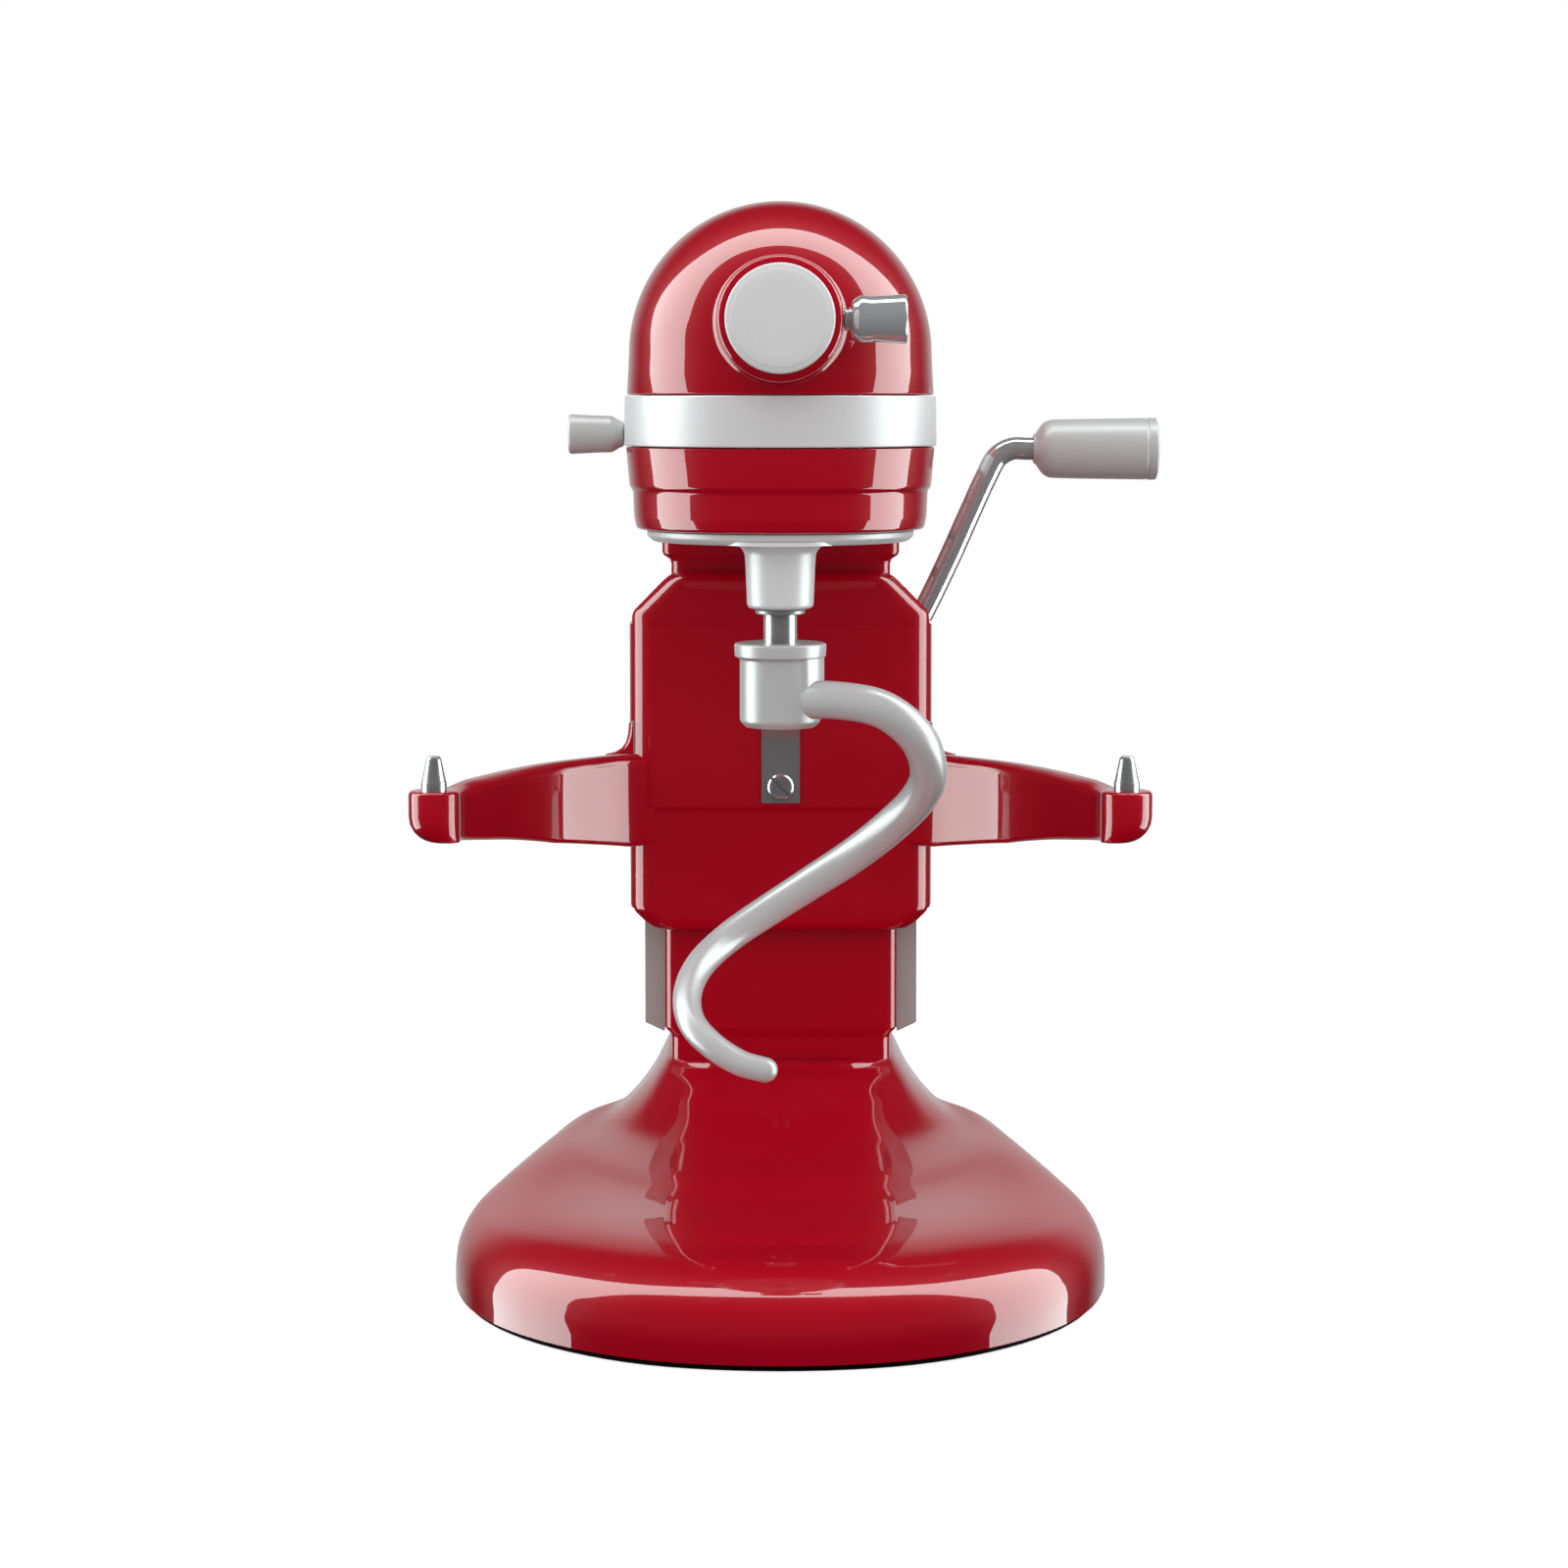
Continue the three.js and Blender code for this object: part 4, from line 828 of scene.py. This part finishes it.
def yoke_boss(sign):
    """Upright on the side towards the bowl, rounded below on the other."""
    waist = BOSS_TOP - 10.0
    profile = [(math.sqrt(max(100.0 - drop ** 2, 0.0)) / 2 - 5.0, waist - drop)
               for drop in (10.0, 9.8, 9.2, 8, 6, 3)]
    profile += [(0.0, waist), (0.0, BOSS_TOP - 1.8), (-0.25, BOSS_TOP - 0.8), (-0.8, BOSS_TOP - 0.2),
                (-1.6, BOSS_TOP)]
    rings = []
    for less, z in profile:
        centre = PIN_X + (less if z < waist else 0.0)
        r = BOSS_R + less
        rings.append([(sign * (centre + r * c), r * s, z) for c, s in ring_points(64)])
    return lofted(rings)


def bowl_lift():
    shapes = [yoke_body()]
    for sign in (-1, 1):
        shapes += [yoke_arm(sign), yoke_boss(sign), arm_fillet(sign)]
        lip = rounded([(50.4, 160.7, 0.8), (64, 160.7, 0.8), (64, 163.3, 1.2), (50.4, 163.3, 0.8)],
                      closed=True, steps=3)
        shapes.append(lofted([[(sign * x, y, z) for x, y in lip] for z in (134, 230)]))
    fork = rounded([(122, 249.2, 0), (195.8, 249.2, 1.5), (195.8, 254.4, 1), (176, 254.4, 3), (176, 264.6, 3),
                    (195.8, 264.6, 1), (195.8, 269.8, 1.5), (122, 269.8, 0)], closed=True, steps=3)
    shapes.append(lofted([[(x, y, z) for y, z in fork] for x in (-FORK_HALF, FORK_HALF)]))
    yoke = make("yoke", together(*shapes), "bowl_lift", "red_enamel", ["bowl_bracket"], sharp=42)
    yoke.visible_glossy = False
    pin = rounded([(0, 191.7), (4.95, 191.7), (4.95, 196.2, 0.5), (4.6, 197.2, 0.4), (2.9, 205.4, 0.6),
                   (2.3, 206.5, 0.5), (0, 206.5)])
    for side, sign in (("left", -1), ("right", 1)):
        make(f"pin_{side}", turned(pin, 64), "bowl_lift", "steel", [f"bowl_pin_{side}"],
             place=(sign * PIN_X, 0, 0))
    # [distance in front of the plate, height]
    strip = rounded([(0, 174), (1.2, 174), (1.2, 202, 3), (4.4, 209, 3), (7, 210.6, 0.4), (7, 211.8, 0.4),
                     (3.8, 210.6, 3), (0, 202.4, 3)], closed=True)
    rings = [[(x, PLATE_Y - 0.3 - d * w, 192 + (z - 192) * w) for d, z in strip]
             for x, w in ((-8.1, 0.98), (-7.8, 1), (7.8, 1), (8.1, 0.98))]
    make("latch_strip", lofted(rings), "bowl_lift", "dark_steel", ["latch_spring"], sharp=50)
    head_profile = rounded([(0, 0.2), (5.6, 0.2, 0.3), (5.6, 1.6, 0.8), (4.6, 2.6, 0.8), (3.9, 2.2, 0.5),
                            (0, 2.3)])
    place, direction, c = (0, LATCH_Y, LATCH_Z), (0, -1, 0), math.sqrt(0.5)
    verts, faces = block(-7, 7, -0.6, 0.6, 1.4, 6)
    groove = (aimed([((x + y) * c, (y - x) * c, z) for x, y, z in verts], direction, place), faces)
    make("latch_screw_head", turned(head_profile, 48), "bowl_lift", "steel", ["latch_screw"], place=place,
         direction=direction, cutters=[groove])


# ---------- lift handle ----------
def lift_handle():
    rises = [(52, 0), (58, 1.5), (61.5, 8), (66.5, 18), (74.5, 35), (82, 52), (89.5, 68.5), (94.2, 76.9)]
    points = [(x, HANDLE_Y, HANDLE_Z + rise) for x, rise in rises]
    points += [(x, HANDLE_Y, GRIP_Z) for x in (100.5, 107, 112)]
    rod = swept(curve_points(points, 120), lambda _: ROD_R, 40)
    make("lift_rod", rod, "lift_handle", "chrome", ["handle_rod"])
    grip = rounded([
        (0, 0), (6.2, 0, 0.8), (6.6, 1.0, 1.0), (12.6, 5.0, 7.0), (13.0, 22.0, 4.0), (13.35, 48.6, 0.3),
        (13.0, 49.2, 0.2), (13.45, 49.8, 0.3), (13.45, 53.2, 0.8), (12.0, 53.7, 0.8), (0, 53.7),
    ], steps=8)
    make("grip", turned(grip, 96), "lift_handle", "silver_paint", ["handle_grip"],
         place=(GRIP_X, HANDLE_Y, GRIP_Z), direction=(1, 0, 0), sharp=30, material="handle_silver")


# ---------- hub fittings and speed knob ----------
def hub_fittings():
    flutes, steps, depth = 110, 4, 0.22
    rim = []
    for i, (c, s) in enumerate(ring_points(flutes * steps)):
        rim.append((c, s, depth * (0.5 - 0.5 * math.cos(2 * math.pi * (i % steps) / steps))))
    # [radius, distance in front of the axis, 1 where the rim is fluted]
    rows = [(14.5, 72.9, 0), (14.5, 78.3, 0), (19.4, 78.3, 0), (19.9, 78.8, 1), (19.9, 83.6, 1),
            (19.4, 84.2, 0), (18.6, 84.5, 0), (18.0, 84.6, 0), (17.6, 84.9, 0), (17.0, 85.1, 0),
            (12.0, 85.3, 0), (6.0, 85.4, 0)]
    rings = [[((r - cut * flute) * c, (r - cut * flute) * s, z) for c, s, cut in rim] for r, z, flute in rows]
    make("hub_cover", lofted(rings), "hub_cap", "silver_paint", ["hub_cap"], place=(0, 0, HUB_Z),
         direction=(0, -1, 0), sharp=35)
    knob = rounded([
        (0, -4), (2.9, -4), (2.9, 2.7, 0.2), (4.2, 2.9, 0.3), (4.2, 3.6, 0.3), (3.3, 3.9, 0.2),
        (4.2, 4.3, 0.3), (4.2, 4.9, 0.3), (3.6, 5.2, 0.3), (6.9, 5.6, 1.6), (8.8, 8.8, 3.2),
        (8.2, 13.0, 4.0), (9.0, 24.7, 0.6), (8.5, 25.4, 0.4), (0, 25.4),
    ], steps=6)
    make("attachment_screw", turned(knob, 96), "attachment_knob", "chrome", ["attachment_knob"],
         place=(20.4, -69, HUB_Z), direction=(1, 0, 0), sharp=35)
    speed = rounded([
        (0, 0.3), (4.6, 0.3, 0.8), (5.4, 2.2, 0.8), (7.1, 5.0, 3.0), (7.2, 11.0, 4.0), (7.75, 21.0, 0.6),
        (7.2, 21.7, 0.5), (0, 21.7),
    ], steps=7)
    knob_low, knob_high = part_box("speed_knob")
    centre = (Vector(knob_low) + Vector(knob_high)) / 2 - AXIS
    make("speed_handle", turned(speed, 80), "speed_lever", "silver_paint", ["speed_knob"],
         place=(knob_high[0] / MM - AXIS.x / MM, centre.y / MM, centre.z / MM), direction=(-1, 0, 0),
         sharp=35, material="handle_silver")


# ---------- studio ----------
FLOOR_R, GROUND_R = 1.6, 0.34
ARCH_R, ARCH_Z, ARCH_GLOW, ARCH_TINT = 1.1, 0.2, 6.4, (0.88, 1.0, 0.985, 1)
FILL, FILL_BELOW, WALLS, WALLS_FAR = 1.0, 0.3, 0.58, 0.02


def stage_mesh(name, points, faces, material, hidden, place=(0, 0, 0)):
    """A mesh of the studio, hidden from the kinds of rays that are named."""
    mesh = bpy.data.meshes.new(name)
    mesh.from_pydata(points, [], faces)
    mesh.materials.append(material)
    obj = bpy.data.objects.new(name, mesh)
    bpy.context.scene.collection.objects.link(obj)
    obj.location = place
    for kind in hidden:
        setattr(obj, f"visible_{kind}", False)


def stage_sheet(name, points, material, hidden):
    stage_mesh(name, points, [tuple(range(len(points)))], material, hidden)


def emptied(owner):
    """The node tree of a new material or world, without its nodes."""
    owner.use_nodes = True
    owner.node_tree.nodes.clear()
    return owner.node_tree


def glow(tree, kind, strength, colour=(1, 1, 1, 1)):
    node = tree.nodes.new(kind)
    node.inputs["Color"].default_value = colour
    node.inputs["Strength"].default_value = strength
    return node.outputs[0]


def blend(tree, share, first, second):
    """A shader that is the second one where the share is 1."""
    mix = tree.nodes.new("ShaderNodeMixShader")
    tree.links.new(share, mix.inputs[0])
    tree.links.new(first, mix.inputs[1])
    tree.links.new(second, mix.inputs[2])
    return mix.outputs[0]


def for_rays(tree, kind, first, second):
    """A shader that is the second one for rays of one kind, such as the camera's."""
    return blend(tree, tree.nodes.new("ShaderNodeLightPath").outputs[kind], first, second)


def finish_shader(tree, shader_out, kind="ShaderNodeOutputMaterial"):
    tree.links.new(shader_out, tree.nodes.new(kind).inputs["Surface"])


def floor():
    """A white disc that fades out into the white surroundings."""
    material = bpy.data.materials.new("floor_white")
    tree = emptied(material)
    diffuse = tree.nodes.new("ShaderNodeBsdfDiffuse")
    diffuse.inputs["Color"].default_value = (0.8, 0.8, 0.8, 1)
    lit = tree.nodes.new("ShaderNodeAddShader")
    tree.links.new(diffuse.outputs[0], lit.inputs[0])
    tree.links.new(glow(tree, "ShaderNodeEmission", 0.8), lit.inputs[1])
    place = tree.nodes.new("ShaderNodeTexCoord")
    length = tree.nodes.new("ShaderNodeVectorMath")
    length.operation = "LENGTH"
    tree.links.new(place.outputs["Object"], length.inputs[0])
    fade = ramp(tree, length.outputs["Value"], (0.0, 1.0), (FLOOR_R * 0.45, FLOOR_R * 0.95), smooth=True)
    clear = tree.nodes.new("ShaderNodeBsdfTransparent")
    finish_shader(tree, blend(tree, fade, lit.outputs[0], clear.outputs[0]))
    rim = [(FLOOR_R * c, FLOOR_R * s, 0) for c, s in ring_points(96)]
    stage_sheet("floor", rim, material, ("glossy", "diffuse"))


def dark_sheets():
    """Darkness in the narrow gap under the base's rim, and little light from below."""
    material = bpy.data.materials.new("contact_shade")
    material.use_nodes = True
    bsdf = material.node_tree.nodes["Principled BSDF"]
    bsdf.inputs["Base Color"].default_value = (0.02, 0.02, 0.02, 1)
    bsdf.inputs["Roughness"].default_value = 1.0
    rim = [Vector((x, y, 0)) * MM + AXIS + Vector((0, 0, 0.0004)) for x, y, _ in base_rings(3.0, 120, 3)[0]]
    stage_sheet("contact_shade", rim, material, ("glossy",))
    disc = [(GROUND_R * c, GROUND_R * s, -0.0004) for c, s in ring_points(48)]
    stage_sheet("dark_ground", disc, material, ("camera", "glossy", "shadow"))


def light_arch():
    """A band of light from the left over the top to the right, seen only in reflections."""
    steps, rows, lowest = 96, 4, math.radians(-30)
    verts = []
    for i in range(steps + 1):
        a = lowest + (math.pi - 2 * lowest) * i / steps
        up = max(math.sin(a), 0.0)
        side, crown = 4 * min(up / 0.4, 1.0), smooth_step((up - 0.45) / 0.5)
        front = math.radians(17 - side - 8.7 * crown)
        rear = math.radians(20 + 1.5 * side - 13.6 * crown)
        for j in range(rows):
            tilt = -front + (front + rear) * j / (rows - 1)
            verts.append((ARCH_R * math.cos(a), ARCH_R * math.tan(tilt), ARCH_R * math.sin(a) + ARCH_Z))
    material = bpy.data.materials.new("light_arch")
    tree = emptied(material)
    finish_shader(tree, glow(tree, "ShaderNodeEmission", ARCH_GLOW, ARCH_TINT))
    stage_mesh("light_arch", verts, grid_faces(steps + 1, rows), material, ("camera", "diffuse", "shadow"),
               place=AXIS)


def surroundings():
    """White behind the object, even light on it, and a dim wall at the rear in its reflections."""
    world = bpy.data.worlds.new("studio")
    bpy.context.scene.world = world
    tree = emptied(world)
    place = tree.nodes.new("ShaderNodeTexCoord")
    split = tree.nodes.new("ShaderNodeSeparateXYZ")
    tree.links.new(place.outputs["Generated"], split.inputs[0])
    depth = ramp(tree, split.outputs["Y"], (WALLS_FAR, 1.0), (0.66, 0.97), smooth=True)
    height = ramp(tree, split.outputs["Z"], (1.0, WALLS_FAR), (0.3, 0.6), smooth=True)
    both = tree.nodes.new("ShaderNodeMath")
    both.operation = "MULTIPLY"
    tree.links.new(depth, both.inputs[0])
    tree.links.new(height, both.inputs[1])
    walls = glow(tree, "ShaderNodeBackground", WALLS)
    tree.links.new(both.outputs[0], walls.node.inputs["Color"])
    light = glow(tree, "ShaderNodeBackground", FILL)
    below = ramp(tree, split.outputs["Z"], (FILL_BELOW, 1.0), (-0.7, 0.3), smooth=True)
    tree.links.new(below, light.node.inputs["Color"])
    lit = for_rays(tree, "Is Glossy Ray", light, walls)
    seen = glow(tree, "ShaderNodeBackground", 1.0)
    finish_shader(tree, for_rays(tree, "Is Camera Ray", lit, seen), "ShaderNodeOutputWorld")
    bpy.context.scene.view_settings.view_transform = "Standard"


def studio():
    floor()
    dark_sheets()
    light_arch()
    surroundings()


def camera():
    """Stands 1.26 m in front of the planetary axis, at 0.34 m, and looks down 4 degrees."""
    data = bpy.data.cameras.new("camera")
    data.sensor_width = 36.0
    data.lens = 75.4
    data.shift_y = -0.097
    obj = bpy.data.objects.new("camera", data)
    bpy.context.scene.collection.objects.link(obj)
    obj.location = AXIS + Vector((0.0014, -1.2593, 0.3427))
    obj.rotation_euler = (math.radians(90 - 4.005), 0, 0)
    bpy.context.scene.camera = obj


camera()
studio()
dress_frame()
head()
base()
column()
planetary()
dough_hook()
bowl_lift()
lift_handle()
hub_fittings()
